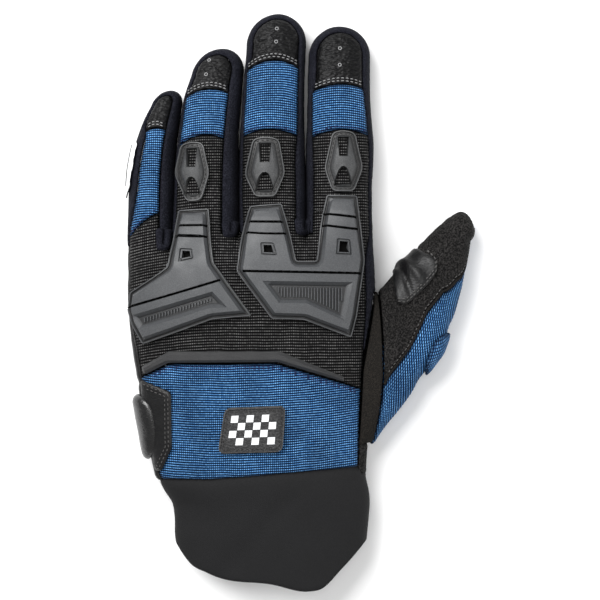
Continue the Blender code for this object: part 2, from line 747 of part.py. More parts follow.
def crossing(finger, shares, shift, count=5):
    """Seam across a finger's back, from its left edge to its right, moved along by a shift."""
    left = finger_edge(finger, finger.station(shares[0], -1))
    right = finger_edge(finger, finger.station(shares[2], 1))
    top = finger.root_y + shares[1] * finger.length
    points = []
    for t in np.linspace(0, 1, count):
        arch = (top - (left[1] + right[1]) / 2) * (1 - (2 * t - 1) ** 2)
        points.append(
            (left[0] + (right[0] - left[0]) * t, left[1] + (right[1] - left[1]) * t + arch + shift)
        )
    return points


def shifted(points, up):
    """The points moved along y."""
    return [(x, y + up) for x, y in points]


def rounded(corners, radius, steps=4):
    """The closed outline with its corners rounded."""
    points = []
    for k, corner in enumerate(corners):
        corner = np.array(corner)
        before = np.array(corners[k - 1]) - corner
        after = np.array(corners[(k + 1) % len(corners)]) - corner
        start = corner + before / np.linalg.norm(before) * radius
        end = corner + after / np.linalg.norm(after) * radius
        for t in np.linspace(0, 1, steps):
            points.append((1 - t) ** 2 * start + 2 * t * (1 - t) * corner + t**2 * end)
    return [(float(x), float(y)) for x, y in points]


def build_tip_cap(finger):
    """Leather over the fingertip, inside the sidewall's rim."""
    left, _, right = BAND_TOP[finger.name]
    outline = crossing(finger, BAND_TOP[finger.name], SEAM / 2)
    outline += edge_run(finger, 1, right, 1)
    outline += [finger_edge(finger, station) for station in np.linspace(1, 2, 9)]
    outline += edge_run(finger, -1, left, 1)
    panel(f"{finger.name}_tip_cap", back_chart, outline, "leather", (CELL_ACROSS, CELL_ROLL))


def build_band(finger):
    """Stretch cloth on the back of the finger, between the tip cap and the hand's back."""
    foot = BAND_FOOT[finger.name]
    top = BAND_TOP[finger.name]
    outline = crossing(finger, foot, SEAM / 2)
    outline += edge_run(finger, 1, foot[2], top[2])
    outline += crossing(finger, top, -SEAM / 2)[::-1]
    outline += edge_run(finger, -1, top[0], foot[0])
    panel(f"{finger.name}_stretch_band", back_chart, outline, "ribbed_blue", PLAN)


def wall_stations(finger):
    """Stations of a finger's wall, from its right root round the tip to its left root."""
    right, left = finger.starts()
    up = [finger.station(right, 1), *finger.stops(1, right, 1)]
    down = [*sorted(finger.stops(-1, left, 1)), finger.station(left, -1)]
    return [*up, *np.linspace(1, 2, 9), *down]


def build_sidewall(finger):
    """The strip from one root round the fingertip to the other, from back seam to palm seam."""
    gap = SEAM / 2 / finger.tip_radius
    stations = wall_stations(finger)
    top = [(s, roll_of_share(finger.edge_share(s) + gap)) for s in stations]
    under = [(s, -roll_of_share(PALM_EDGE + gap)) for s in stations]
    panel(
        f"{finger.name}_sidewall",
        finger_wall_chart(finger),
        under + top[::-1],
        "fourchette_cloth",
        (1 / SIDE_STATIONS, CELL_ROLL),
    )


def build_finger_guard(finger, table):
    """Moulded shield on the finger's knuckle."""
    panel(
        f"{finger.name}_finger_guard",
        back_chart,
        finger_outline(finger, table),
        "moulded_rubber",
        PLAN,
        GUARD_HEIGHT,
        LAY,
        GUARD_CHAMFER,
    )


def side_share(side, face, along):
    """Where the pieces on the hand's back or palm end, as a share of the half width."""
    table = RIGHT_EDGE if side > 0 else LEFT_EDGE
    return float(np.interp(along, table["along"], table[face]))


def side_run(side, face, alongs):
    """Plan points along the edge of the pieces on the hand's back or palm, half a seam in."""
    return [
        hand_point(side * (side_share(side, face, along) - SEAM / KNUCKLE_WIDTH), along)
        for along in alongs
    ]


def wrist_line(shift):
    """The seam between the back of the hand and the wrist panel, left to right."""
    return shifted(hand_outline(WRIST_SEAM), shift)


def cuff_line(across, shift):
    """Plan point of the seam between the hand and the cuff."""
    along = float(np.interp(across, CUFF_SEAM["across"], CUFF_SEAM["along"]))
    x, y = hand_point(across, along)
    return x, y + shift


def build_back():
    """Ribbed cloth over the back of the hand and the roots of the fingers."""
    outline = wrist_line(SEAM / 2)
    outline += side_run(1, "back", (0.60, 0.48, 0.36, 0.24, 0.12))
    for finger in reversed(FINGERS):
        foot = BAND_FOOT[finger.name]
        right, left = finger.starts()
        outline += shifted([finger_edge(finger, finger.station(right, 1))], -SEAM)
        outline += edge_run(finger, 1, right, foot[2])
        outline += crossing(finger, foot, -SEAM / 2)[::-1]
        outline += edge_run(finger, -1, left, foot[0])
        outline += shifted([finger_edge(finger, finger.station(left, -1))], -SEAM)
    outline += side_run(-1, "back", (0.12, 0.24, 0.36, 0.48))
    panel("back_panel", back_chart, outline, "ribbed_black", PLAN)


def build_wrist():
    """Blue ribbed cloth over the wrist, from the back's seam to the cuff's."""
    edge = side_share(1, "back", 1) - SEAM / KNUCKLE_WIDTH
    other = side_share(-1, "back", 1) - SEAM / KNUCKLE_WIDTH
    outline = [cuff_line(across, SEAM / 2) for across in np.linspace(-other, edge, 7)]
    outline += side_run(1, "back", (0.94, 0.84, 0.72))
    outline += wrist_line(-SEAM / 2)[::-1]
    outline += side_run(-1, "back", (0.72, 0.84, 0.94))
    panel("wrist_panel", back_chart, outline, "ribbed_blue", PLAN)


def build_palm():
    """One piece of suede under the hand, the fingers and up to the thumb."""
    edge = PALM_EDGE - SEAM / KNUCKLE_WIDTH
    outline = [cuff_line(across, SEAM / 2) for across in np.linspace(-edge, edge, 7)]
    low, high = thumb_root_ends()
    outline += [hand_point(edge, low + 0.008), hand_point(0.88, low + 0.004)]
    for angle in (324, 315, 292.5, 270, 247.5, 225, 216):
        x, y, _ = thumb_chart(0.0, angle)
        outline.append((float(x) - 1.6 * SEAM, float(y)))
    outline += [hand_point(0.88, high + 0.002), hand_point(edge, high + 0.002)]
    outline += side_run(1, "palm", (0.12,))
    for finger in reversed(FINGERS):
        stations = wall_stations(finger)
        for station in stations:
            x, y = finger.outline(station, PALM_EDGE - SEAM / 2 / finger.tip_radius)
            end = station in (stations[0], stations[-1])
            outline.append((float(x), float(y) - (SEAM if end else 0)))
    outline += side_run(-1, "palm", SIDE_ALONGS)
    panel(
        "palm_panel",
        front_chart,
        [(-x, y) for x, y in reversed(outline)],
        "suede",
        (CELL_PALM, CELL_PALM),
    )


def thumb_root_ends():
    """Shares of the hand's length at the thumb root's lower and upper end."""
    half = THUMB["reach"][0] * THUMB_ROOT / HAND_LENGTH
    return THUMB_FOOT + half, THUMB_FOOT - half


def wall_point(side, along, share, turn):
    """Point on the hand's wall chart; turn is 1 above the hand's edge and -1 below it."""
    y = ROOT_Y - along * HAND_LENGTH
    return side * y, turn * roll_of_share(share)


def build_outer_side():
    """Leather round the hand's outer edge, from the little finger to the cuff."""
    gap = 2.2 * SEAM / KNUCKLE_WIDTH
    start = (ROOT_Y - LITTLE_FINGER.root_y + 2.4 * SEAM) / HAND_LENGTH
    alongs = (start, *SIDE_ALONGS, 1.004)
    top = [wall_point(-1, a, side_share(-1, "back", a) + gap, 1) for a in alongs]
    under = [wall_point(-1, a, side_share(-1, "palm", a) + gap, -1) for a in alongs]
    panel("outer_side", hand_wall_chart(-1), under + top[::-1], "leather", WALL)


def build_inner_side():
    """Smooth cloth on the hand's thumb side, down to the thumb and on along the gusset."""
    start = SEAM / HAND_LENGTH
    _, high = thumb_root_ends()
    alongs = (start, 0.12, 0.24, 0.36, 0.48)
    gap = 1.3 * SEAM / KNUCKLE_WIDTH
    top = [wall_point(1, a, side_share(1, "back", a) + gap, 1) for a in alongs]
    alongs = (start, 0.12, high - 0.006)
    under = [wall_point(1, a, side_share(1, "palm", a) + gap, -1) for a in alongs]
    edge = [wall_point(1, high - 0.006, 0.990, 1), wall_point(1, 0.36, 0.963, 1)]
    edge += [wall_point(1, 0.48, 0.935, 1)]
    panel(
        "thumb_side_strip", hand_wall_chart(1), top + edge[::-1] + under[::-1], "fourchette_cloth", WALL
    )


def build_wrist_side():
    """Suede on the hand's thumb side, between the thumb and the cuff."""
    gap = 2.6 * SEAM / KNUCKLE_WIDTH
    low, _ = thumb_root_ends()
    alongs = (low + 0.010, 0.953)
    top = [wall_point(1, a, side_share(1, "back", a) + gap, 1) for a in alongs]
    under = [wall_point(1, a, PALM_EDGE + gap, -1) for a in alongs]
    panel("wrist_side", hand_wall_chart(1), top + under[::-1], "suede", WALL)


def build_gusset():
    """Suede web between the hand and the thumb."""
    downs = np.linspace(0.02, 0.98, 13)
    hand = [(0.05, -d) for d in downs]
    thumb = [(0.960, -d) for d in downs]
    panel("thumb_gusset", gusset_chart, hand[::-1] + thumb, "suede", (0.34, 1 / 12))


def thumb_turned(section, angle, distance):
    """The angle moved on round the thumb by a distance."""
    step = thumb_chart(section, angle + 1.0) - thumb_chart(section, angle - 1.0)
    return float(angle + distance * 2 / np.linalg.norm(step))


def build_thumb():
    """The thumb's front and back, the patch in its crook and the fold on its back."""
    sections = np.linspace(0.70, THUMB_LAST, 14)
    tip = np.linspace(THUMB_LAST, THUMB_END, 3)[1:]
    crook = [d for d in (0.40, 0.30, 0.20, 0.10, 0.03)]
    front = [(float(s), thumb_turned(s, thumb_seam(s), 0.7 * SEAM)) for s in (*sections, *tip)]
    under = [(float(s), UNDER_SEAM) for s in (0.07, *range(1, THUMB_LAST + 1), *tip)]
    front += [(s, thumb_turned(s, a, -SEAM / 2)) for s, a in reversed(under)]
    front += [(0.07, 225.0), (0.08, 190.0)]
    front += [(float(gusset_section(d)) + 0.08, float(root_angle(d))) for d in crook[::-1]]
    panel("thumb_front", thumb_chart, front, "suede", THUMB_GRID)

    wrist = (0.97, 0.90, 0.80, 0.70)
    back = [(float(s), thumb_turned(s, thumb_seam(s), -0.7 * SEAM)) for s in (*sections, *tip)]
    outline = [(s, thumb_turned(s, a - 360, SEAM / 2)) for s, a in under] + back[::-1]
    outline += [(float(gusset_section(d)) + 0.08, float(root_angle(d))) for d in wrist[::-1]]
    outline += [(0.08, 0.0), (0.07, -40.0)]
    panel("thumb_back", thumb_chart, outline, "ribbed_blue", THUMB_GRID)

    patch = list(zip(THUMB_PATCH["section"], THUMB_PATCH["angle"]))
    panel("thumb_patch", thumb_chart, patch, "leather", THUMB_GRID, PATCH_HEIGHT, LAY)
    fold = list(zip(THUMB_FOLD["section"], THUMB_FOLD["angle"]))
    panel("thumb_fold", thumb_chart, fold, "ribbed_blue", THUMB_GRID, FOLD_HEIGHT, LAY)


def build_hand_guards():
    """Moulded armour over the knuckles and the bar across the hand's back."""
    for name, table in (("inner_knuckle_guard", INNER_GUARD), ("outer_knuckle_guard", OUTER_GUARD)):
        panel(
            name,
            back_chart,
            hand_outline(table),
            "moulded_rubber",
            PLAN,
            GUARD_HEIGHT,
            1.5 * LAY,
            GUARD_CHAMFER,
        )
    bar = hand_outline(WRIST_BAR)
    panel("wrist_bar", back_chart, bar, "moulded_rubber", PLAN, BAR_HEIGHT, LAY, BAR_CHAMFER)


def build_trim():
    """The badge and the tab on the wrist, the heel's pad and the little finger's pale strip."""
    badge = rounded(hand_outline(BADGE), BADGE_CORNER)
    panel("wrist_badge", back_chart, badge, "badge_rubber", PLAN, BADGE_HEIGHT, LAY)
    tab = hand_outline(WRIST_TAB)
    panel("wrist_tab", back_chart, tab, "leather", PLAN, PATCH_HEIGHT, LAY)
    pad = [
        wall_point(-1, a, share, turn)
        for a, share, turn in zip(HEEL_PAD["along"], HEEL_PAD["share"], HEEL_PAD["side"])
    ]
    panel(
        "heel_pad",
        hand_wall_chart(-1),
        pad,
        "leather",
        (CELL_ROLL, CELL_ROLL / 2),
        PAD_HEIGHT,
        1.5 * LAY,
        PAD_CHAMFER,
    )
    flash = [
        (LITTLE_FINGER.station(a, -1), turn * roll_of_share(share))
        for a, share, turn in zip(SIDE_FLASH["along"], SIDE_FLASH["share"], SIDE_FLASH["side"])
    ]
    panel(
        "little_side_flash",
        finger_wall_chart(LITTLE_FINGER),
        flash,
        "pale_rubber",
        (1 / SIDE_STATIONS, CELL_ROLL),
        PATCH_HEIGHT,
        LAY,
    )


def centre_over_origin():
    """Moves the whole glove so that the origin is under the middle of its outline."""
    pieces = [ob for ob in bpy.data.objects if ob.type == "MESH"]
    points = [vert.co for piece in pieces for vert in piece.data.vertices]
    low = [min(point[axis] for point in points) for axis in range(3)]
    high = [max(point[axis] for point in points) for axis in range(3)]
    shift = Vector((-(low[0] + high[0]) / 2, -(low[1] + high[1]) / 2, -low[2]))
    for piece in pieces:
        piece.data.transform(Matrix.Translation(shift))


def main():
    """Removes what the scene holds and builds the glove."""
    for old in list(bpy.data.objects):
        bpy.data.objects.remove(old, do_unlink=True)
    for finger in FINGERS:
        build_tip_cap(finger)
        build_band(finger)
        build_sidewall(finger)
    build_finger_guard(INDEX_FINGER, INDEX_GUARD)
    build_finger_guard(MIDDLE_FINGER, MIDDLE_GUARD)
    build_finger_guard(RING_FINGER, RING_GUARD)
    build_back()
    build_wrist()
    build_palm()
    build_outer_side()
    build_inner_side()
    build_wrist_side()
    build_gusset()
    build_thumb()
    build_hand_guards()
    build_trim()
    sleeve("cuff", cuff_chart, CUFF_SIDES, CUFF_RINGS, CUFF_WALL, "neoprene")
    centre_over_origin()


main()
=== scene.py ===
"""The looks of a motocross glove for the left hand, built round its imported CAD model.

Units are metres. +X points to the thumb side, +Y to the fingertips and +Z out of the back of the
hand. The hand's form is described as the CAD model describes it: level sections across the hand
and across each finger, and sections across the thumb. Each piece is a flat pattern that is cut on
a fine net and laid on that form with its folds, ribs and seams, then sewn down with real stitches.
"""

import logging
import math
from collections.abc import Callable, Sequence
from dataclasses import dataclass, field
from enum import IntEnum, StrEnum

import bpy
import numpy as np
from mathutils import Matrix, Vector
from mathutils.geometry import delaunay_2d_cdt
from mathutils.kdtree import KDTree

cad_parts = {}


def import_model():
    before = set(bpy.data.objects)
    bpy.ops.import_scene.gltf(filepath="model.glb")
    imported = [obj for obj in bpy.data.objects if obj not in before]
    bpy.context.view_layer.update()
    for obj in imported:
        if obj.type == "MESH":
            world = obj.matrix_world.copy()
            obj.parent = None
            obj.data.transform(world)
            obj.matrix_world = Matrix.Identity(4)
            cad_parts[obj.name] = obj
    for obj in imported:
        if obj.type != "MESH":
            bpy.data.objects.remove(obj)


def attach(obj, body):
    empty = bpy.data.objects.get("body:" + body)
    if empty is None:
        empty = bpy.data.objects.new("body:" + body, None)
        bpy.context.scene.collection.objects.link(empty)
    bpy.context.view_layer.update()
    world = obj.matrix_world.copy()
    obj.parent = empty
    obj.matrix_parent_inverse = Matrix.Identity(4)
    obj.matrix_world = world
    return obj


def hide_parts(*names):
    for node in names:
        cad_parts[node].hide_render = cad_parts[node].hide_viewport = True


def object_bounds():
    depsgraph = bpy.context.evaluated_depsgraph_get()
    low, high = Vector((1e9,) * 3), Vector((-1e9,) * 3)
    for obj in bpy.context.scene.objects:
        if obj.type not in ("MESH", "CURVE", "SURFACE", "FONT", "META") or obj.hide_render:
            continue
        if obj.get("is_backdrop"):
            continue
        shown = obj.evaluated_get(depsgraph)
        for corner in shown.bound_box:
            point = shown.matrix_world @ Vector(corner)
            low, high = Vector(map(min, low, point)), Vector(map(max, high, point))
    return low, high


log = logging.getLogger("glove")

Array = np.ndarray
Point = tuple[float, float]
Chart = Callable[[Array, Array], Array]
Relief = Callable[[Array, Array, Array], Array]
Table = dict[str, tuple[float, ...]]
Socket = bpy.types.NodeSocket
Piece = bpy.types.Object
Material = bpy.types.Material
Tree = bpy.types.NodeTree
Node = bpy.types.Node

# Driving sizes, as the CAD model has them
HAND_LENGTH = 0.1016
HAND_HEIGHT = 0.0300
CUFF_LENGTH = 0.0475
FINGER_GAP = 0.00055
WEB_SLOPE = 0.0200
WEB_START = 0.0080
RING_DROP = 0.0021
LITTLE_DROP = 0.0055
THUMB_SPAN = 0.0412
THUMB_RISE = 0.0676
THUMB_ROOT = 0.0647
THUMB_HEIGHT = 0.0210
THUMB_DOME = 0.0046
THUMB_FOOT = 0.566
THUMB_HEADING = 36.0
FULLNESS = 2.4
WAIST = 0.42
PRESSED = 0.0016
ROLL = 0.012
CLOTH = 0.0013
CUFF_WALL = 0.0024
SEAM = 0.0005
LAY = 0.0006
PALM_EDGE = 0.76
UNDER_SEAM = 262.0
# How far the CAD model was moved to lie over the origin
CENTRING = np.array((-0.000353, -0.000472, 0.0))

# Sections of the hand and the cuff. along is a share of the length from the finger roots or the
# wrist seam, left and right are shares of the knuckle width, top a share of HAND_HEIGHT.
HAND: Table = {
    "along": (0.00, 0.06, 0.14, 0.28, 0.44, 0.61, 0.77, 0.90, 1.00),
    "left": (-0.500, -0.500, -0.496, -0.496, -0.482, -0.458, -0.434, -0.410, -0.388),
    "right": (0.500, 0.503, 0.507, 0.512, 0.502, 0.490, 0.482, 0.478, 0.474),
    "top": (0.95, 0.98, 1.03, 1.04, 1.00, 0.95, 0.90, 0.86, 0.83),
}
CUFF: Table = {
    "along": (0.00, 0.15, 0.24, 0.35, 0.53, 0.75, 1.00),
    "left": (-0.388, -0.345, -0.318, -0.308, -0.306, -0.292, -0.272),
    "right": (0.474, 0.486, 0.488, 0.484, 0.478, 0.474, 0.470),
    "top": (0.83, 0.81, 0.80, 0.79, 0.78, 0.77, 0.76),
}
CUFF_END: Table = {
    "across": (-1.00, -0.90, -0.70, 0.00, 0.38, 0.52, 0.75, 0.90, 1.00),
    "end": (0.60, 0.74, 0.84, 0.935, 0.995, 0.975, 0.80, 0.67, 0.58),
}
CUFF_SEAM: Table = {
    "across": (-1.00, -0.50, 0.00, 0.50, 1.00),
    "along": (1.015, 1.010, 0.992, 0.975, 0.957),
}
# Finger sections, as shares of the finger's length, width and height. lean is a share of the
# width, gap counts finger gaps to the neighbour on the thumb side.
SECTIONS: dict[str, Table] = {
    "index": {
        "along": (0.00, 0.20, 0.42, 0.64, 0.85),
        "lean": (0.000, 0.000, 0.015, -0.010, 0.000),
        "width": (1.00, 0.985, 1.01, 0.96, 0.94),
        "height": (1.00, 0.93, 0.87, 0.77, 0.68),
    },
    "middle": {
        "along": (0.00, 0.20, 0.38, 0.51, 0.66, 0.86),
        "gap": (1.0, 2.0, 3.0, 2.3, 2.4, 2.0),
        "width": (1.00, 1.00, 0.97, 0.97, 0.94, 0.92),
        "height": (1.00, 0.90, 0.84, 0.78, 0.70, 0.62),
    },
    "ring": {
        "along": (0.00, 0.20, 0.46, 0.62, 0.74, 0.86),
        "gap": (1.0, 1.4, 1.8, 1.4, 1.2, 1.0),
        "width": (1.00, 0.965, 0.925, 0.895, 0.87, 0.79),
        "height": (1.00, 0.90, 0.82, 0.74, 0.68, 0.60),
    },
    "little": {
        "along": (0.00, 0.27, 0.51, 0.64, 0.72, 0.80, 0.90),
        "gap": (1.0, 1.0, 1.0, 1.1, 1.0, 1.0, 1.2),
        "width": (1.00, 1.005, 0.998, 0.94, 0.89, 0.82, 0.68),
        "height": (1.00, 0.92, 0.84, 0.78, 0.74, 0.70, 0.64),
    },
}
# Where the pieces on a finger's back end and its sidewall begins, as shares of the half width
EDGES: dict[str, Table] = {
    "index": {
        "along": (0.00, 0.30, 0.45, 0.66, 0.71, 1.00),
        "left": (0.85, 0.86, 0.90, 0.90, 0.78, 0.76),
        "right": (0.93, 0.90, 0.86, 0.85, 0.77, 0.76),
    },
    "middle": {
        "along": (0.00, 0.30, 0.45, 0.74, 0.79, 1.00),
        "left": (0.94, 0.96, 0.96, 0.96, 0.82, 0.80),
        "right": (0.76, 0.78, 0.84, 0.84, 0.80, 0.80),
    },
    "ring": {
        "along": (0.00, 0.50, 0.73, 0.79, 1.00),
        "left": (0.95, 0.96, 0.96, 0.88, 0.84),
        "right": (0.55, 0.58, 0.60, 0.58, 0.62),
    },
    "little": {
        "along": (0.00, 0.10, 0.25, 0.40, 0.70, 0.78, 1.00),
        "left": (0.95, 0.90, 0.68, 0.54, 0.54, 0.82, 0.84),
        "right": (0.54, 0.54, 0.52, 0.50, 0.47, 0.47, 0.52),
    },
}
# Seams across the fingers, as shares of their lengths: left edge, middle, right edge
BAND_TOP: dict[str, tuple[float, float, float]] = {
    "index": (0.678, 0.707, 0.690),
    "middle": (0.735, 0.777, 0.745),
    "ring": (0.735, 0.775, 0.755),
    "little": (0.730, 0.750, 0.735),
}
BAND_FOOT: dict[str, tuple[float, float, float]] = {
    "index": (0.455, 0.486, 0.465),
    "middle": (0.433, 0.460, 0.434),
    "ring": (0.480, 0.529, 0.512),
    "little": (0.060, 0.150, 0.205),
}
# Thumb sections: across and up from its root, half length, direction in degrees, and height
THUMB: Table = {
    "across": (0.018, 0.168, 0.347, 0.526, 0.679, 0.791, 0.872, 0.931),
    "up": (0.000, 0.116, 0.248, 0.396, 0.539, 0.680, 0.804, 0.893),
    "reach": (0.500, 0.479, 0.429, 0.365, 0.317, 0.239, 0.162, 0.100),
    "tilt": (-92.0, -91.5, -87.0, -82.0, -78.0, -74.0, -70.0, -64.0),
    "top": (0.95, 1.00, 1.00, 0.98, 0.93, 0.88, 0.83, 0.76),
}
THUMB_LAST = len(THUMB["across"]) - 1
THUMB_END = THUMB_LAST + 0.93
# Where the thumb's back meets its front, and the pieces laid on it: sections, degrees round it
THUMB_SEAM: Table = {
    "section": (0.60, 1.00, 2.00, 3.00, 4.00, 5.00, 6.00, 7.93),
    "angle": (72.0, 76.0, 77.0, 86.0, 82.0, 59.0, 14.0, 8.0),
}
THUMB_PATCH: Table = {
    "section": (4.10, 3.85, 2.90, 2.00, 1.45, 1.25, 1.30, 1.50, 2.85, 3.00, 3.45, 3.95),
    "angle": (108.0, 101.0, 104.0, 108.0, 118.0, 140.0, 175.0, 205.0, 205.0, 175.0, 140.0, 118.0),
}
THUMB_FOLD: Table = {
    "section": (2.62, 2.70, 3.05, 3.55, 3.90, 3.90, 2.70),
    "angle": (18.0, 38.0, 50.0, 42.0, 22.0, -24.0, -28.0),
}
GUSSET_EDGE: Table = {
    "down": (0.00, 0.20, 0.40, 0.60, 0.80, 0.92, 1.00),
    "section": (0.06, 0.28, 0.48, 0.62, 0.52, 0.30, 0.06),
}
GUSSET_SIDE: Table = {"down": (0.00, 0.50, 1.00), "share": (1.00, 0.925, 0.925)}
# Seams of the hand: shares of the half width across, and of HAND_LENGTH along
LEFT_EDGE: Table = {
    "along": (0.05, 0.12, 0.24, 0.36, 0.48, 1.10),
    "back": (0.991, 0.985, 0.985, 0.985, 0.955, 0.955),
    "palm": (0.957, 0.870, 0.760, 0.760, 0.760, 0.760),
}
RIGHT_EDGE: Table = {
    "along": (0.00, 0.12, 0.24, 1.10),
    "back": (0.981, 0.925, 0.925, 0.925),
    "palm": (0.936, 0.840, 0.760, 0.760),
}
WRIST_SEAM: Table = {
    "across": (-0.955, -0.690, 0.200, 0.765, 0.925),
    "along": (0.592, 0.535, 0.533, 0.614, 0.640),
}
INNER_GUARD: Table = {
    "across": (0.028, 0.256, 0.367, 0.521, 0.630, 0.854, 0.885, 0.895, 0.829, 0.796, 0.418, 0.165,
               -0.105, -0.104, -0.034),
    "along": (-0.103, -0.112, 0.122, 0.122, -0.149, -0.147, 0.008, 0.120, 0.339, 0.428, 0.355, 0.351,
              0.165, 0.145, 0.023),
}
OUTER_GUARD: Table = {
    "across": (-0.541, -0.321, -0.300, -0.282, 0.011, -0.300, -0.871, -0.943, -0.962, -0.939, -0.639,
               -0.580),
    "along": (-0.087, -0.091, 0.045, 0.128, 0.339, 0.353, 0.455, 0.372, 0.314, 0.244, 0.143, 0.037),
}
WRIST_BAR: Table = {
    "across": (-0.908, -0.671, 0.230, 0.759, 0.761, 0.214, -0.686, -0.900),
    "along": (0.545, 0.483, 0.482, 0.587, 0.607, 0.525, 0.529, 0.579),
}
BADGE: Table = {"across": (-0.249, 0.273, 0.228, -0.355), "along": (0.711, 0.702, 0.890, 0.897)}
WRIST_TAB: Table = {
    "across": (-0.945, -0.695, -0.760, -0.900, -0.960, -0.950, -0.955, -0.950),
    "along": (0.600, 0.649, 0.876, 0.975, 0.975, 0.885, 0.720, 0.635),
}
HEEL_PAD: Table = {
    "along": (0.660, 0.700, 0.800, 0.885, 0.935, 0.925, 0.880, 0.720, 0.670),
    "share": (0.960, 0.870, 0.865, 0.905, 0.985, 0.960, 0.890, 0.870, 0.930),
    "side": (1, 1, 1, 1, 1, -1, -1, -1, -1),
}
SIDE_FLASH: Table = {
    "along": (0.300, 0.370, 0.500, 0.640, 0.660, 0.640, 0.500, 0.360),
    "share": (0.970, 0.800, 0.730, 0.730, 0.820, 0.985, 0.940, 0.985),
    "side": (1, 1, 1, 1, 1, -1, -1, -1),
}
# Finger guards: shares of the finger's width from its root's middle, and of its length
FINGER_GUARDS: dict[str, Table] = {
    "index": {
        "across": (-0.114, 0.038, 0.209, 0.311, 0.189, -0.114, -0.220),
        "along": (0.471, 0.482, 0.470, 0.303, 0.188, 0.188, 0.298),
    },
    "middle": {
        "across": (-0.268, -0.095, 0.097, 0.180, 0.046, -0.237, -0.377),
        "along": (0.415, 0.424, 0.413, 0.259, 0.151, 0.151, 0.256),
    },
    "ring": {
        "across": (-0.317, -0.170, -0.017, 0.077, -0.039, -0.241, -0.402),
        "along": (0.477, 0.491, 0.483, 0.327, 0.182, 0.177, 0.327),
    },
}
# Soft cloth between the fingers: its left and right edge, and its upper and lower end
CROTCHES = {
    "little": (-0.0596, -0.0529, 0.0300, 0.0204),
    "ring": (-0.0321, -0.0250, 0.0330, 0.0258),
    "middle": (-0.0021, 0.0052, 0.0340, 0.0268),
}
# Air holes in the leather caps: shares of the finger's length, and how far off its middle line
AIR_HOLES = {
    "index": ((0.80, 0.88), 0.0),
    "middle": ((0.86, 0.92), 0.0),
    "ring": ((0.852, 0.928), -0.0042),
    "little": ((), 0.0),
}
# Creases of the palm: y on the hand's middle line and slope
PALM_CREASES = ((0.0500, 0.05), (0.0260, 0.05), (0.0020, -0.22), (-0.0160, 0.30))
# Creases of the thumb's front: section, lean and depth
THUMB_CREASES = ((1.15, 0.011, 0.0010), (1.80, 0.016, 0.0012), (2.45, 0.012, 0.0008))
# How far the outer pieces reach under their neighbours, and the least wall that a relief leaves
TUCK = 0.0010
THINNEST = 0.0002
# How patterns are cut: how near the net may come to a line and the step over which slopes are
# read, both in cells, and how far apart an edge is sampled
CLEARANCE = 0.45
SLOPE_STEP = 0.02
EDGE_STEP = 0.0004
# Puckers beside a seam: how far in they reach, and how long they are
PUCKER_REACH = 0.0025
PUCKER_LENGTH = 0.0031
# How high the two large guards and the heel pillow stand over the cloth
HIGH_LAY = 1.5 * LAY


class Side(IntEnum):
    """A side of the hand or of a finger, as the sign of x towards it."""

    LEFT = -1
    RIGHT = 1


class Face(StrEnum):
    """A face of the hand, as its edge tables name it."""

    BACK = "back"
    PALM = "palm"


def smooth(at: Array, stops: Sequence[float], values: Sequence[float]) -> Array:
    """Reads a smooth curve with level ends.

    Args:
        at: Where it is read.
        stops: Where its values stand.
        values: The values that it runs through.

    Returns:
        Its values there.
    """
    stops = np.asarray(stops, float)
    values = np.asarray(values, float)
    at = np.clip(np.asarray(at, float), stops[0], stops[-1])
    slope = np.gradient(values, stops)
    k = np.clip(np.searchsorted(stops, at, side="right") - 1, 0, len(stops) - 2)
    span = stops[k + 1] - stops[k]
    t = (at - stops[k]) / span
    start = (1 + 2 * t) * (1 - t) ** 2 * values[k] + t * (1 - t) ** 2 * span * slope[k]
    end = t**2 * (3 - 2 * t) * values[k + 1] - t**2 * (1 - t) * span * slope[k + 1]
    return start + end


def ease(t: Array) -> Array:
    """0 to 1, level at both ends."""
    t = np.clip(t, 0.0, 1.0)
    return t * t * (3 - 2 * t)


def hump(away: Array, width: float) -> Array:
    """1 on a line, fading to 0 at about twice the width on either side of it."""
    return np.exp(-((away / width) ** 2))


def rise(share: Array) -> Array:
    """How high a section stands at a share of its half width: 1 in the middle, 0 at its edge."""
    return np.clip(1 - np.abs(share) ** FULLNESS, 0, 1) ** (1 / FULLNESS)


def levels(top: Array, lift: Array) -> tuple[Array, Array]:
    """Upper and lower surface of a section of this height, lift being its rise there."""
    waist = WAIST * top
    return waist + (top - waist) * lift, np.maximum(waist - (waist + PRESSED) * lift, 0)


def swing(turn: Array) -> Array:
    """Share of the half width, with its sign, at an angle round a section."""
    return np.sign(np.cos(turn)) * np.abs(np.cos(turn)) ** (2 / FULLNESS)


def share_of_roll(roll: Array) -> Array:
    """Share of the half width that a roll over the edge stands for."""
    return np.abs(np.cos(roll / ROLL)) ** (2 / FULLNESS)


def roll_of_share(share: Array) -> Array:
    """Roll over the edge at a share of the half width."""
    return ROLL * np.arccos(np.clip(share, 0, 1) ** (FULLNESS / 2))


def ripple(u: Array, v: Array, length: float) -> Array:
    """Gives gentle unevenness.

    Args:
        u: Place along the piece.
        v: Place across it.
        length: About how long its waves are.

    Returns:
        Values from -1 to 1.
    """
    total = np.zeros(np.shape(u))
    for k in range(5):
        heading = 2.4 * k + 0.7
        wave = length * (0.7 + 0.17 * k)
        total += np.sin((u * math.cos(heading) + v * math.sin(heading)) / wave * 2 * math.pi + 1.9 * k)
    return total / 5


@dataclass(frozen=True)
class FingerSizes:
    """Width, length and height of one finger, and how far its root lies below the middle one's."""

    name: str
    width: float
    length: float
    height: float
    drop: float


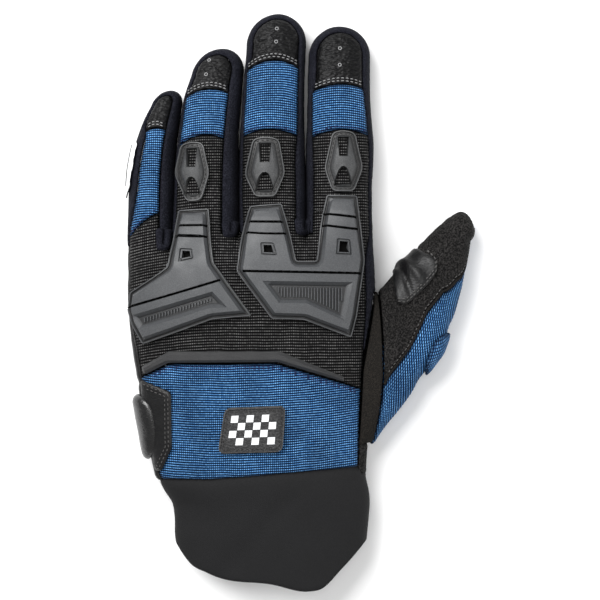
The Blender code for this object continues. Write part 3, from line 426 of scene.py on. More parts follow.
INDEX = FingerSizes("index", 0.0277, 0.0874, 0.0255, 0.0)
MIDDLE = FingerSizes("middle", 0.0273, 0.0926, 0.0280, 0.0)
RING = FingerSizes("ring", 0.0277, 0.0802, 0.0272, RING_DROP)
LITTLE = FingerSizes("little", 0.0187, 0.0660, 0.0225, LITTLE_DROP)
KNUCKLE_WIDTH = INDEX.width + MIDDLE.width + RING.width + LITTLE.width + 3 * FINGER_GAP
SEAM_SHARE = SEAM / KNUCKLE_WIDTH
ROOT_Y = (HAND_LENGTH + CUFF_LENGTH - MIDDLE.length) / 2
SEAM_Y = ROOT_Y - HAND_LENGTH
HAND_MIDDLE = -THUMB_SPAN / 2
HAND_RIGHT = HAND_MIDDLE + KNUCKLE_WIDTH / 2
THUMB_Y = ROOT_Y - THUMB_FOOT * HAND_LENGTH
THUMB_HALF = THUMB["reach"][0] * THUMB_ROOT
THUMB_LOW = THUMB_FOOT + THUMB_HALF / HAND_LENGTH
THUMB_HIGH = THUMB_FOOT - THUMB_HALF / HAND_LENGTH


class Finger:
    """One finger's sections, in metres, placed from its neighbour's."""

    def __init__(self, sizes: FingerSizes, beside: "Finger | None" = None) -> None:
        """Works the sections out.

        Args:
            sizes: The finger's driving sizes.
            beside: The neighbour on the thumb side.
        """
        table = SECTIONS[sizes.name]
        self.name = sizes.name
        self.width = sizes.width
        self.length = sizes.length
        self.root_y = ROOT_Y - sizes.drop
        self.y = self.root_y + sizes.length * np.array(table["along"])
        self.half = sizes.width / 2 * np.array(table["width"])
        self.top = sizes.height * np.array(table["height"])
        if beside is None:
            self.x = HAND_RIGHT - sizes.width / 2 + sizes.width * np.array(table["lean"])
        else:
            edges = np.array([float(beside.middle(y) - beside.half_at(y)) for y in self.y])
            self.x = edges - FINGER_GAP * np.array(table["gap"]) - self.half
        self.tip_y = self.y[-1]
        self.tip_radius = self.half[-1]
        self.reach = self.tip_y - self.root_y
        self.dome = self.root_y + sizes.length - self.tip_y
        self.edge = EDGES[sizes.name]

    def at(self, share: float) -> float:
        """y at a share of the finger's length."""
        return self.root_y + share * self.length

    def middle(self, y: Array) -> Array:
        """Middle of the section at y; it keeps its slope over the tip."""
        slope = (self.x[-1] - self.x[-2]) / (self.y[-1] - self.y[-2])
        return smooth(y, self.y, self.x) + slope * np.maximum(np.asarray(y, float) - self.tip_y, 0)

    def half_at(self, y: Array) -> Array:
        """Half width of the section at y, not counting the round of the tip."""
        return smooth(y, self.y, self.half)

    def across(self, x: Array, y: Array) -> Array:
        """Share of the half width at which x lies, with its sign."""
        return (x - self.middle(y)) / self.half_at(y)

    def share(self, x: Array, y: Array) -> Array:
        """0 on the finger's middle line, 1 on its outline, round the tip too."""
        over = np.maximum(np.asarray(y, float) - self.tip_y, 0) / self.dome
        return np.hypot(self.across(x, y), over)

    def climb(self, station: Array) -> Array:
        """Share of the way from the root to the tip's round at a station."""
        station = np.asarray(station, float)
        return np.clip(np.where(station < 1.5, station, 3 - station), 0, 1)

    def outline(self, station: Array, share: Array) -> tuple[Array, Array]:
        """Places points on the finger's plan.

        Args:
            station: 0 to 1 up the right side, to 2 round the tip and to 3 down the left side.
            share: Share of the half width, 1 on the outline.

        Returns:
            Their x and y.
        """
        station = np.asarray(station, float)
        y_side = self.root_y + self.climb(station) * self.reach
        turn = math.pi * np.clip(station - 1, 0, 1)
        y = y_side + share * self.dome * np.sin(turn)
        return self.middle(y) + share * self.half_at(y_side) * np.cos(turn), y

    def edge_share(self, station: Array) -> Array:
        """Share of the half width at which the pieces on the back end, along the outline."""
        along = self.climb(station) * self.reach / self.length
        left = np.interp(along, self.edge["along"], self.edge["left"])
        right = np.interp(along, self.edge["along"], self.edge["right"])
        blend = ease(np.asarray(station, float) - 1)
        return right * (1 - blend) + left * blend

    def station(self, along: float, side: Side) -> float:
        """Station on a side at a share of the finger's length."""
        up = along * self.length / self.reach
        return up if side is Side.RIGHT else 3 - up


class Form:
    """The glove's outer surface and the charts on which its pieces are laid."""

    def __init__(self) -> None:
        """Places the fingers from the index finger outwards."""
        index = Finger(INDEX)
        middle = Finger(MIDDLE, index)
        ring = Finger(RING, middle)
        self.fingers = (Finger(LITTLE, ring), ring, middle, index)

    def starts(self, finger: Finger) -> Point:
        """Shares of the length at which the right and the left wall leave their neighbours."""
        place = self.fingers.index(finger)
        right, left = finger.root_y, finger.root_y
        if place + 1 < len(self.fingers):
            right = max(right, self.fingers[place + 1].root_y)
        if place:
            left = max(left, self.fingers[place - 1].root_y)
        return (right - finger.root_y) / finger.length, (left - finger.root_y) / finger.length

    def ends(self, finger: Finger) -> Point:
        """Stations at which the right and the left wall leave their neighbours."""
        right, left = self.starts(finger)
        return finger.station(right, Side.RIGHT), finger.station(left, Side.LEFT)

    def root_line(self, x: Array) -> Array:
        """y of the line of finger roots at x."""
        return np.interp(x, [f.x[0] for f in self.fingers], [f.root_y for f in self.fingers])

    def hand_section(self, y: Array) -> tuple[Array, Array, Array]:
        """Middle, half width and top of the hand or cuff section at y."""
        below = np.asarray(ROOT_Y - y, float)
        over = 1 + (below - HAND_LENGTH) / CUFF_LENGTH
        along = np.where(below < HAND_LENGTH, below / HAND_LENGTH, over)
        stops = HAND["along"] + tuple(1 + a for a in CUFF["along"][1:])
        left, right, top = (smooth(along, stops, HAND[k] + CUFF[k][1:]) for k in ("left", "right", "top"))
        left, right = left * KNUCKLE_WIDTH, right * KNUCKLE_WIDTH
        return HAND_MIDDLE + (left + right) / 2, (right - left) / 2, top * HAND_HEIGHT

    def finger_levels(self, x: Array, y: Array, inside: Array) -> tuple[Array, Array]:
        """Gives the surfaces of the nearest finger, or of its root below the root line.

        Args:
            x: Plan places.
            y: Plan places.
            inside: How far they lie in from the hand's edge.

        Returns:
            The upper and the lower surface.
        """
        upper = np.zeros(np.shape(x))
        lower = np.zeros(np.shape(x))
        nearest = np.full(np.shape(x), np.inf)
        for finger in self.fingers:
            share = finger.share(x, y)
            root = np.maximum(share, 1 - inside / finger.half[0])
            share = np.where(y < self.root_line(x), root, share)
            here = share < nearest
            up, low = levels(smooth(y, finger.y, finger.top), rise(np.minimum(share, 1)))
            upper = np.where(here, up, upper)
            lower = np.where(here, low, lower)
            nearest = np.minimum(nearest, share)
        return upper, lower

    def surfaces(self, x: Array, y: Array) -> tuple[Array, Array]:
        """Upper and lower surface of the glove without its thumb at (x, y)."""
        x = np.asarray(x, float)
        y = np.asarray(y, float)
        middle, half, top = self.hand_section(y)
        inside = half - np.abs(x - middle)
        hand_up, hand_low = levels(top, rise(np.clip(1 - inside / half, 0, 1)))
        finger_up, finger_low = self.finger_levels(x, y, inside)
        blend = ease((self.root_line(x) + WEB_START - y) / WEB_SLOPE)
        upper = finger_up * (1 - blend) + hand_up * blend
        lower = finger_low * (1 - blend) + hand_low * blend
        share = (THUMB_Y - y) / THUMB_HALF
        _, shelf = levels(THUMB_HEIGHT * THUMB["top"][0], rise(np.minimum(np.abs(share), 1)))
        return upper, np.where(x > middle, np.minimum(lower, shelf), lower)

    def back(self, x: Array, y: Array) -> Array:
        """The back of the hand, charted by plan position."""
        return np.stack([x, y, self.surfaces(x, y)[0]], -1)

    def front(self, x: Array, y: Array) -> Array:
        """The palm side, charted by plan position seen from below, so x is turned round."""
        return np.stack([-x, y, self.surfaces(-x, y)[1]], -1)

    def wall(self, x: Array, y: Array, roll: Array) -> Array:
        """Points of a wall: above its edge where the roll is over 0, and else below it."""
        upper, lower = self.surfaces(x, y)
        return np.stack([x, y, np.where(roll >= 0, upper, lower)], -1)

    def finger_wall(self, finger: Finger) -> Chart:
        """A finger's wall, charted by station round its outline and by roll over its edge."""
        return lambda station, roll: self.wall(*finger.outline(station, share_of_roll(roll)), roll)

    def hand_wall(self, side: Side) -> Chart:
        """The hand's wall on a side, charted by the side's sign times y and by roll."""

        def chart(along: Array, roll: Array) -> Array:
            """Points of the wall."""
            middle, half, _ = self.hand_section(side * along)
            return self.wall(middle + side * half * share_of_roll(roll), side * along, roll)

        return chart

    def thumb(self, section: Array, angle: Array) -> Array:
        """Charts the thumb.

        Args:
            section: Number of the section, counted from the root; past the last the tip rounds.
            angle: Degrees round it, 0 at its outer side and 90 on top.

        Returns:
            The points.
        """
        section = np.asarray(section, float)
        stops = np.arange(THUMB_LAST + 1)
        body = np.clip(section, 0, THUMB_LAST)
        over = np.clip(section - THUMB_LAST, 0, 1) * math.pi / 2
        tilt = np.radians(smooth(body, stops, THUMB["tilt"]))
        reach = smooth(body, stops, THUMB["reach"]) * THUMB_ROOT * np.cos(over)
        top = smooth(body, stops, THUMB["top"]) * THUMB_HEIGHT
        x = HAND_RIGHT + smooth(body, stops, THUMB["across"]) * THUMB_SPAN
        y = THUMB_Y + smooth(body, stops, THUMB["up"]) * THUMB_RISE
        x = x + math.cos(math.radians(THUMB_HEADING)) * THUMB_DOME * np.sin(over)
        y = y + math.sin(math.radians(THUMB_HEADING)) * THUMB_DOME * np.sin(over)
        turn = np.radians(angle)
        across = swing(turn)
        lift = np.abs(np.sin(turn)) ** (2 / FULLNESS) * np.cos(over)
        z = np.where(np.sin(turn) >= 0, *levels(top, lift))
        return np.stack([x + np.cos(tilt) * across * reach, y + np.sin(tilt) * across * reach, z], -1)

    def thumb_seam(self, section: Array) -> Array:
        """Degrees round the thumb at which its back meets its front."""
        return np.interp(section, THUMB_SEAM["section"], THUMB_SEAM["angle"])

    def thumb_turned(self, section: float, angle: float, distance: float) -> float:
        """The angle moved on round the thumb by a distance."""
        step = self.thumb(section, angle + 1.0) - self.thumb(section, angle - 1.0)
        return float(angle + distance * 2 / np.linalg.norm(step))

    def root_angle(self, down: Array) -> Array:
        """Degrees round the thumb at a share of the way down its root."""
        share = np.clip(2 * np.asarray(down, float) - 1, -0.9999, 0.9999)
        return np.degrees(np.arccos(np.sign(share) * np.abs(share) ** (FULLNESS / 2)))

    def gusset_section(self, down: Array) -> Array:
        """Section of the thumb where the gusset ends, at a share of the way down the root."""
        return np.interp(down, GUSSET_EDGE["down"], GUSSET_EDGE["section"])

    def gusset(self, over: Array, up: Array) -> Array:
        """Charts the web between hand and thumb.

        Args:
            over: Share of the way over it.
            up: Share of the way down its length, below zero so that faces point outwards.

        Returns:
            The points.
        """
        down = -np.asarray(up, float)
        y = THUMB_Y + THUMB_HALF * (1 - 2 * down)
        roll = roll_of_share(np.interp(down, GUSSET_SIDE["down"], GUSSET_SIDE["share"]))
        hand = self.hand_wall(Side.RIGHT)(y, roll)
        thumb = self.thumb(self.gusset_section(down), self.root_angle(down))
        over = np.asarray(over, float)[..., None]
        return hand * (1 - over) + thumb * over

    def cuff(self, angle: Array, down: Array) -> Array:
        """Charts the cuff.

        Args:
            angle: Degrees round it, 0 at its right and 90 on top.
            down: Share of the way from the wrist seam to its open end.

        Returns:
            The points.
        """
        turn = np.radians(angle)
        across = swing(turn)
        start = ROOT_Y - HAND_LENGTH * np.interp(across, CUFF_SEAM["across"], CUFF_SEAM["along"])
        end = SEAM_Y - CUFF_LENGTH * smooth(across, CUFF_END["across"], CUFF_END["end"])
        y = (start - SEAM / 2) * (1 - down) + end * down
        middle, half, top = self.hand_section(y)
        z = np.where(np.sin(turn) >= 0, *levels(top, rise(np.abs(across))))
        return np.stack([middle + across * half, y, z], -1)


def outward(chart: Chart, u: Array, v: Array, step: Point) -> Array:
    """Finds the unit normals of a chart from its slopes.

    Args:
        chart: The chart.
        u: Places on it.
        v: Places on it.
        step: How far apart the slopes are read.

    Returns:
        The normals.
    """
    along_u = chart(u + step[0], v) - chart(u - step[0], v)
    along_v = chart(u, v + step[1]) - chart(u, v - step[1])
    normal = np.cross(along_u, along_v)
    return normal / np.maximum(np.linalg.norm(normal, axis=-1, keepdims=True), 1e-12)


def point(x: float, y: float) -> Point:
    """A plan point in plain numbers."""
    return float(x), float(y)


def hand_point(form: Form, across: float, along: float) -> Point:
    """Plan point at a share across the hand's section and a share of the hand's length."""
    y = ROOT_Y - along * HAND_LENGTH
    middle, half, _ = form.hand_section(y)
    return point(middle + across * half, y)


def hand_outline(form: Form, table: Table) -> list[Point]:
    """Plan points of a piece laid on the hand."""
    return [hand_point(form, a, s) for a, s in zip(table["across"], table["along"])]


def wall_point(side: Side, along: float, share: float, turn: int) -> Point:
    """Point of the hand's wall at a share of its length; turn is 1 above its edge, -1 below."""
    return side * (ROOT_Y - along * HAND_LENGTH), turn * float(roll_of_share(share))


def rounded(corners: Sequence[Point], radius: float, steps: int = 5) -> list[Point]:
    """Rounds the corners of a closed outline, less where its sides are short.

    Args:
        corners: The outline's corners.
        radius: How far back each round reaches.
        steps: Points in each round.

    Returns:
        The rounded outline.
    """
    points = []
    for k, corner in enumerate(corners):
        corner = np.array(corner)
        before = np.array(corners[k - 1]) - corner
        after = np.array(corners[(k + 1) % len(corners)]) - corner
        reach = [min(radius, np.linalg.norm(side) * 0.45) for side in (before, after)]
        start = corner + before / np.linalg.norm(before) * reach[0]
        end = corner + after / np.linalg.norm(after) * reach[1]
        for t in np.linspace(0, 1, steps):
            points.append(point(*((1 - t) ** 2 * start + 2 * t * (1 - t) * corner + t**2 * end)))
    return points


def signed_area(points: Array) -> float:
    """Twice the area in a closed outline, above zero where it runs anticlockwise."""
    return np.sum(points[:, 0] * np.roll(points[:, 1], -1) - points[:, 1] * np.roll(points[:, 0], -1))


def anticlockwise(outline: Sequence[Point]) -> list[Point]:
    """The closed outline, run anticlockwise."""
    points = np.array(outline)
    return [point(*p) for p in (points if signed_area(points) > 0 else points[::-1])]


def inset(outline: Sequence[Point], distance: float) -> list[Point]:
    """Moves a closed outline inwards, keeping its number of points.

    Args:
        outline: The outline, run either way round.
        distance: How far in; below zero moves it out.

    Returns:
        The moved outline.
    """
    points = np.array(outline)
    before = points - np.roll(points, 1, 0)
    after = np.roll(points, -1, 0) - points
    turn = np.sign(signed_area(points))
    normals = []
    for side in (before, after):
        side = side / np.linalg.norm(side, axis=1, keepdims=True)
        normals.append(np.stack([-side[:, 1], side[:, 0]], 1) * turn)
    mitre = (normals[0] + normals[1]) / (1 + np.sum(normals[0] * normals[1], 1, keepdims=True))
    return [point(*p) for p in points + distance * mitre]


def strip(start: Point, end: Point, width: float) -> list[Point]:
    """The outline of a straight strip, such as a groove."""
    start, end = np.array(start), np.array(end)
    along = (end - start) / np.linalg.norm(end - start)
    side = np.array((-along[1], along[0])) * width / 2
    return [point(*p) for p in (start - side, end - side, end + side, start + side)]


def sides_of(outline: Sequence[Point]) -> list[tuple[Array, Array]]:
    """Start and end of each side of a closed outline."""
    corners = np.asarray(outline, float)
    return list(zip(corners, np.roll(corners, -1, 0)))


def within(points: Array, outline: Sequence[Point]) -> Array:
    """Which points lie inside the closed outline."""
    x, y = points.T
    found = np.zeros(len(points), bool)
    for (x0, y0), (x1, y1) in sides_of(outline):
        if y0 != y1:
            found ^= ((y0 > y) != (y1 > y)) & (x < x0 + (y - y0) * (x1 - x0) / (y1 - y0))
    return found


def depth_in(points: Array, outline: Sequence[Point]) -> Array:
    """How far each point lies inside the closed outline; it is below zero outside."""
    nearest = np.full(len(points), np.inf)
    for start, end in sides_of(outline):
        side = end - start
        t = np.clip((points - start) @ side / max(side @ side, 1e-18), 0, 1)
        nearest = np.minimum(nearest, np.linalg.norm(points - start - t[:, None] * side, axis=1))
    return np.where(within(points, outline), nearest, -nearest)


def from_nearest(points: Array, samples: Array) -> Array:
    """How far each plan point lies from the nearest sample."""
    tree = KDTree(len(samples))
    for k, sample in enumerate(samples):
        tree.insert((sample[0], sample[1], 0), k)
    tree.balance()
    return np.array([tree.find((p[0], p[1], 0))[2] for p in points])


@dataclass
class Feature:
    """A form pressed into or raised from a moulded piece, by how deep a point lies in its outline."""

    outline: list[Point]
    depths: tuple[float, ...] = (0,)
    heights: tuple[float, ...] = (0,)

    def loops(self) -> list[list[Point]]:
        """The lines on which the form bends."""
        return [inset(self.outline, depth) if depth else list(self.outline) for depth in self.depths]

    def height(self, points: Array) -> Array:
        """What the form adds at each point."""
        return np.interp(depth_in(points, self.outline), self.depths, self.heights)


@dataclass(frozen=True)
class Lie:
    """How a sewn piece lies: its edges roll down to the seam and pucker, and its face is uneven."""

    depth: float = 0.0008
    reach: float = 0.0018
    pucker: float = 0.00012
    uneven: float = 0.00012
    wave: float = 0.014

    def __call__(self, u: Array, v: Array, rim: Array) -> Array:
        """Height over the chart, from the place on the cloth and the distance from its rim."""
        share = np.clip(rim / self.reach, 0, 1)
        roll = self.depth * (1 - np.sqrt(1 - (1 - share) ** 2))
        wave = np.sin((u * 0.9 + v * 1.1) / PUCKER_LENGTH * 2 * math.pi)
        gathers = self.pucker * np.exp(-rim / PUCKER_REACH) * wave
        return gathers - roll + self.uneven * ripple(u, v, self.wave)


@dataclass(frozen=True)
class Knit:
    """Size of a ribbed knit: one rib along the piece and one stitch across it."""

    rib: float
    stitch: float
    depth: float

    def ribs(self, cloth: Array) -> Array:
        """What the ribs add at each point of a cloth map."""
        return self.depth * (np.abs(np.sin(cloth[..., 1] / self.rib * math.pi)) - 0.6)


BLUE_KNIT = Knit(0.00100, 0.00084, 0.00018)
BLACK_KNIT = Knit(0.00120, 0.00090, 0.00024)


def new_piece(
    name: str,
    points: Array,
    faces: list[list[int]],
    materials: Sequence[Material],
    cloth: Array | None = None,
    **values: Array,
) -> Piece:
    """Makes a mesh into a piece that rides on the glove.

    Args:
        name: The piece's name.
        points: Its corners, in metres.
        faces: The corners of each face.
        materials: Its finishes.
        cloth: Its cloth map, corner by corner.
        values: What its finishes read at each corner, by name.

    Returns:
        The piece, smoothly shaded.
    """
    mesh = bpy.data.meshes.new(name)
    mesh.from_pydata(points.tolist(), [], faces)
    mesh.validate()
    if cloth is not None:
        corners = np.zeros(len(mesh.loops), int)
        mesh.loops.foreach_get("vertex_index", corners)
        layer = mesh.uv_layers.new(name="UVMap")
        layer.data.foreach_set("uv", cloth[corners].astype(np.float32).ravel())
    for label, kept in values.items():
        layer = mesh.attributes.new(label, "FLOAT", "POINT")
        layer.data.foreach_set("value", kept.astype(np.float32))
    for material in materials:
        mesh.materials.append(material)
    mesh.shade_smooth()
    piece = bpy.data.objects.new(name, mesh)
    bpy.context.scene.collection.objects.link(piece)
    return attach(piece, "root")


@dataclass
class Panel:
    """A flat pattern piece that is cut on a fine net and laid on a chart of the glove."""

    name: str
    chart: Chart
    outline: list[Point]
    cell: Point
    metric: Point = (1.0, 1.0)
    thickness: float = CLOTH
    lift: float = 0.0
    relief: Relief | None = None
    weave: Chart | None = None
    knit: Knit | None = None
    features: list[Feature] = field(default_factory=list)
    holes: list[list[Point]] = field(default_factory=list)
    crisp: float = 0.0

    def net(self) -> tuple[Array, list[list[int]]]:
        """Cuts the pattern into small triangles.

        Returns:
            The points in chart units, and the triangles' corners.
        """
        cell = np.array(self.cell)
        verts: list[Array] = []
        lines: list[tuple[int, int]] = []

        def loop(points: Sequence[Point], step: float) -> range:
            """Adds the points of a closed line, about a step apart in cells."""
            first = len(verts)
            for start, end in sides_of(np.asarray(points, float) / cell):
                count = max(1, math.ceil(np.linalg.norm(end - start) / step))
                verts.extend(start + (end - start) * k / count for k in range(count))
            return range(first, len(verts))

        rim = loop(self.outline, 1.0)
        for feature in self.features:
            for line in feature.loops():
                made = loop(line, 2.0)
                lines += [(k, k + 1 if k + 1 in made else made[0]) for k in made]
        edge = np.array(verts)
        low = np.floor(edge[list(rim)].min(0)).astype(int)
        high = np.ceil(edge[list(rim)].max(0)).astype(int)
        inner = np.stack(np.meshgrid(np.arange(low[0], high[0] + 1), np.arange(low[1], high[1] + 1)), -1)
        inner = inner.reshape(-1, 2).astype(float)
        inner = inner[within(inner, edge[list(rim)])]
        kept = inner[from_nearest(inner, edge) > CLEARANCE]
        points = [Vector(p) for p in (*verts, *kept)]
        found = delaunay_2d_cdt(points, lines, [list(rim)], 1, 1e-4)
        return np.array([tuple(p) for p in found[0]]) * cell, [list(f) for f in found[2]]

    def rim(self, points: Array) -> Array:
        """How far each point lies in from the pattern's edge, in metres."""
        samples = []
        for start, end in sides_of(np.asarray(self.outline, float) * np.array(self.metric)):
            steps = max(1, math.ceil(np.linalg.norm(end - start) / EDGE_STEP))
            samples += [start + (end - start) * k / steps for k in range(steps)]
        return from_nearest(points, samples)

    def build(self, *materials: Material) -> Piece:
        """Lays the pattern on its chart as one closed piece.

        Args:
            materials: The finish of the piece, and of the floors of its holes.

        Returns:
            The piece, riding on the glove.
        """
        flat, faces = self.net()
        u, v = flat.T
        metric = np.array(self.metric)
        plan = (u * metric[0], v * metric[1])
        rim = self.rim(flat * metric)
        cloth = self.weave(*plan) if self.weave else flat * metric
        raised = sum((feature.height(flat) for feature in self.features), np.zeros(len(flat)))
        height = (self.lift + self.thickness if self.lift else 0.0) + raised
        if self.relief:
            height = height + self.relief(*plan, rim)
        if self.knit:
            height = height + self.knit.ribs(cloth)
        floor = self.lift if self.lift else -self.thickness
        height = np.maximum(height, floor + THINNEST)
        place = self.chart(u, v)
        step = (self.cell[0] * SLOPE_STEP, self.cell[1] * SLOPE_STEP)
        normal = outward(self.chart, u, v, step)
        top = place + height[:, None] * normal + CENTRING
        under = place + floor * normal + CENTRING
        count = len(flat)
        edges = dict.fromkeys((a, b) for face in faces for a, b in zip(face, face[1:] + face[:1]))
        shell = faces + [[k + count for k in reversed(face)] for face in faces]
        shell += [[b, a, a + count, b + count] for a, b in edges if (b, a) not in edges]
        piece = new_piece(
            self.name,
            np.concatenate([top, under]),
            shell,
            materials,
            np.tile(cloth, (2, 1)),
            rim=np.tile(rim, 2),
            raised=np.tile(raised, 2),
        )
        if self.holes:
            middles = np.array([flat[face].mean(0) for face in faces])
            paint = np.zeros(len(piece.data.polygons), np.int32)
            for hole in self.holes:
                paint[: len(faces)][within(middles, hole)] = 1
            piece.data.polygons.foreach_set("material_index", paint)
        if self.crisp:
            piece.data.set_sharp_from_angle(angle=math.radians(self.crisp))
        return piece


class Nodes:
    """Adds and links the nodes of one material or group."""

    def __init__(self, tree: Tree) -> None:
        """Keeps the tree that the nodes go into."""
        self.tree = tree

    def put(self, socket: Socket, value: object) -> None:
        """Links a socket into an input, or sets the input's own value."""
        if isinstance(value, Socket):
            self.tree.links.new(value, socket)
        else:
            socket.default_value = value

    def add(self, kind: str, inputs: dict | None = None, **settings: object) -> Node:
        """Adds a node.

        Args:
            kind: The node's type, without its leading ShaderNode.
            inputs: Values or sockets to link, by input name or number.
            settings: Properties to set on the node.

        Returns:
            The node.
        """
        node = self.tree.nodes.new(f"ShaderNode{kind}")
        for name, value in settings.items():
            setattr(node, name, value)
        for name, value in (inputs or {}).items():
            self.put(node.inputs[name], value)
        return node

    def math(self, operation: str, *values: object) -> Socket:
        """Adds a Math node of up to three values and gives its result."""
        return self.add("Math", dict(enumerate(values)), operation=operation).outputs[0]

    def vector(self, operation: str, *values: object) -> Socket:
        """Adds a Vector Math node of two values and gives its result."""
        return self.add("VectorMath", dict(enumerate(values)), operation=operation).outputs[0]

    def noise(self, place: Socket, scale: object, detail: float) -> Node:
        """Adds a noise pattern on the given coordinates."""
        return self.add("TexNoise", {"Vector": place, "Scale": scale, "Detail": detail})

    def wave(self, value: Socket) -> Socket:
        """0 at whole numbers and 1 halfway between them."""
        return self.math("ABSOLUTE", self.math("SINE", self.math("MULTIPLY", value, math.pi)))

    def span(self, value: object, low: float, high: float, start: float, end: float) -> Socket:
        """Maps low to start and high to end smoothly, and holds the value beyond them."""
        inputs = {"Value": value, "From Min": low, "From Max": high, "To Min": start, "To Max": end}
        return self.add("MapRange", inputs, interpolation_type="SMOOTHSTEP").outputs["Result"]

    def mix(self, share: object, first: object, second: object) -> Socket:
        """Mixes two colours by a share."""
        node = self.add("Mix", data_type="RGBA")
        for name, value in (("Factor_Float", share), ("A_Color", first), ("B_Color", second)):
            self.put(next(s for s in node.inputs if s.identifier == name), value)
        return next(s for s in node.outputs if s.identifier == "Result_Color")


class Effects:
    """The shader node groups that several finishes share, each made once."""

    def __init__(self) -> None:
        """Builds every group."""
        self.knit = self.build_knit()
        self.grain = self.build_grain()
        self.fuzz = self.build_fuzz()
        self.rim_wear_and_sheen = self.build_rim_wear_and_sheen()

    def open_group(self, name: str, inputs: dict[str, float | None]) -> tuple[Nodes, dict[str, Socket]]:
        """Starts a group.

        Args:
            name: The group's name.
            inputs: Start values by input name, None for a vector.

        Returns:
            The node maker, and the sockets of its inputs by name.
        """
        tree = bpy.data.node_groups.new(name, "ShaderNodeTree")
        for label, value in inputs.items():
            kind = "NodeSocketVector" if value is None else "NodeSocketFloat"
            socket = tree.interface.new_socket(label, in_out="INPUT", socket_type=kind)
            if value is not None:
                socket.default_value = value
        given = tree.nodes.new("NodeGroupInput")
        return Nodes(tree), {label: given.outputs[label] for label in inputs}

    def close_group(self, made: Nodes, outputs: dict[str, Socket]) -> Tree:
        """Gives the group its outputs, by name."""
        for label in outputs:
            made.tree.interface.new_socket(label, in_out="OUTPUT", socket_type="NodeSocketFloat")
        out = made.tree.nodes.new("NodeGroupOutput")
        for label, value in outputs.items():
            made.put(out.inputs[label], value)
        return made.tree

    def build_knit(self) -> Tree:
        """Ribs of small stitches, on the cloth's own map in metres."""
        made, given = self.open_group("ribbed_knit", {"Cloth": None, "Rib": 0.001, "Stitch": 0.0008})
        sway = made.noise(given["Cloth"], 90.0, 1.0).outputs["Fac"]
        parts = made.add("SeparateXYZ", {0: given["Cloth"]})
        shift = made.math("MULTIPLY_ADD", sway, 0.0008, -0.0004)
        rib = made.math("DIVIDE", made.math("ADD", parts.outputs[1], shift), given["Rib"])
        stitch = made.math("DIVIDE", made.math("ADD", parts.outputs[0], shift), given["Stitch"])
        ridge = made.wave(rib)
        soft_ridge = made.math("POWER", ridge, 0.8)
        body = made.math("MULTIPLY", soft_ridge, made.math("POWER", made.wave(stitch), 0.3))
        cell = made.add("CombineXYZ", {0: made.math("FLOOR", stitch), 1: made.math("FLOOR", rib)})
        tint = made.add("TexWhiteNoise", {"Vector": cell.outputs[0]}, noise_dimensions="2D")
        height = made.math("MULTIPLY_ADD", body, 0.6, made.math("MULTIPLY", ridge, 0.4))
        face = made.span(body, 0.35, 0.95, 0.0, 1.0)
        return self.close_group(made, {"Height": height, "Face": face, "Tint": tint.outputs["Value"]})

    def build_grain(self) -> Tree:
        """Fine leather grain, small pebbles crossed by longer wrinkles."""
        made, given = self.open_group("leather_grain", {"Place": None, "Scale": 1200.0, "Creases": 0.4})
        warp = made.noise(given["Place"], 300.0, 3.0).outputs["Color"]
        place = made.vector("ADD", given["Place"], made.vector("MULTIPLY", warp, (0.0012,) * 3))
        stretch = made.vector("MULTIPLY", place, (0.6, 1.3, 1.0))
        inputs = {"Vector": stretch, "Scale": given["Scale"]}
        pebble = made.add("TexVoronoi", inputs, feature="SMOOTH_F1").outputs["Distance"]
        fold = made.noise(place, 110.0, 4.0).outputs["Fac"]
        fold_line = made.math("ABSOLUTE", made.math("SUBTRACT", fold, 0.5))
        crease = made.math("MULTIPLY", made.span(fold_line, 0.0, 0.05, 1.0, 0.0), given["Creases"])
        body = made.span(pebble, 0.1, 0.8, 1.0, 0.0)
        height, gap = made.math("SUBTRACT", body, crease), made.math("SUBTRACT", 1.0, body)
        return self.close_group(made, {"Height": height, "Crease": gap})

    def build_fuzz(self) -> Tree:
        """Short matted fibres: fine speckle with soft patches."""
        made, given = self.open_group("matted_fibres", {"Place": None, "Scale": 2600.0, "Patch": 90.0})
        fine = made.noise(given["Place"], given["Scale"], 2.0).outputs["Fac"]
        broad = made.noise(given["Place"], given["Patch"], 3.0).outputs["Fac"]
        speckle, patch = made.span(fine, 0.35, 0.7, 0.0, 1.0), made.span(broad, 0.3, 0.7, 0.0, 1.0)
        return self.close_group(made, {"Speckle": speckle, "Patch": patch})

    def build_rim_wear_and_sheen(self) -> Tree:
        """A mask of rubbed wear and painted sheen that is strongest within a reach of the piece's rim."""
        made, given = self.open_group("rubbed_and_sheen_rim", {"Place": None, "Rim": 0.0, "Reach": 0.001})
        noise = made.noise(given["Place"], 420.0, 3.0).outputs["Fac"]
        near = made.math("SUBTRACT", 1.0, made.math("DIVIDE", given["Rim"], given["Reach"]))
        near = made.math("MAXIMUM", near, 0.0)
        mask = made.math("MULTIPLY", near, made.span(noise, 0.35, 0.65, 0.3, 1.0))
        return self.close_group(made, {"Mask": mask})


Colour = tuple[float, float, float, float]
Look = tuple[Socket, object, Socket]


def grey(level: float) -> Colour:
    """A neutral colour."""
    return (level, level, level * 1.03, 1.0)


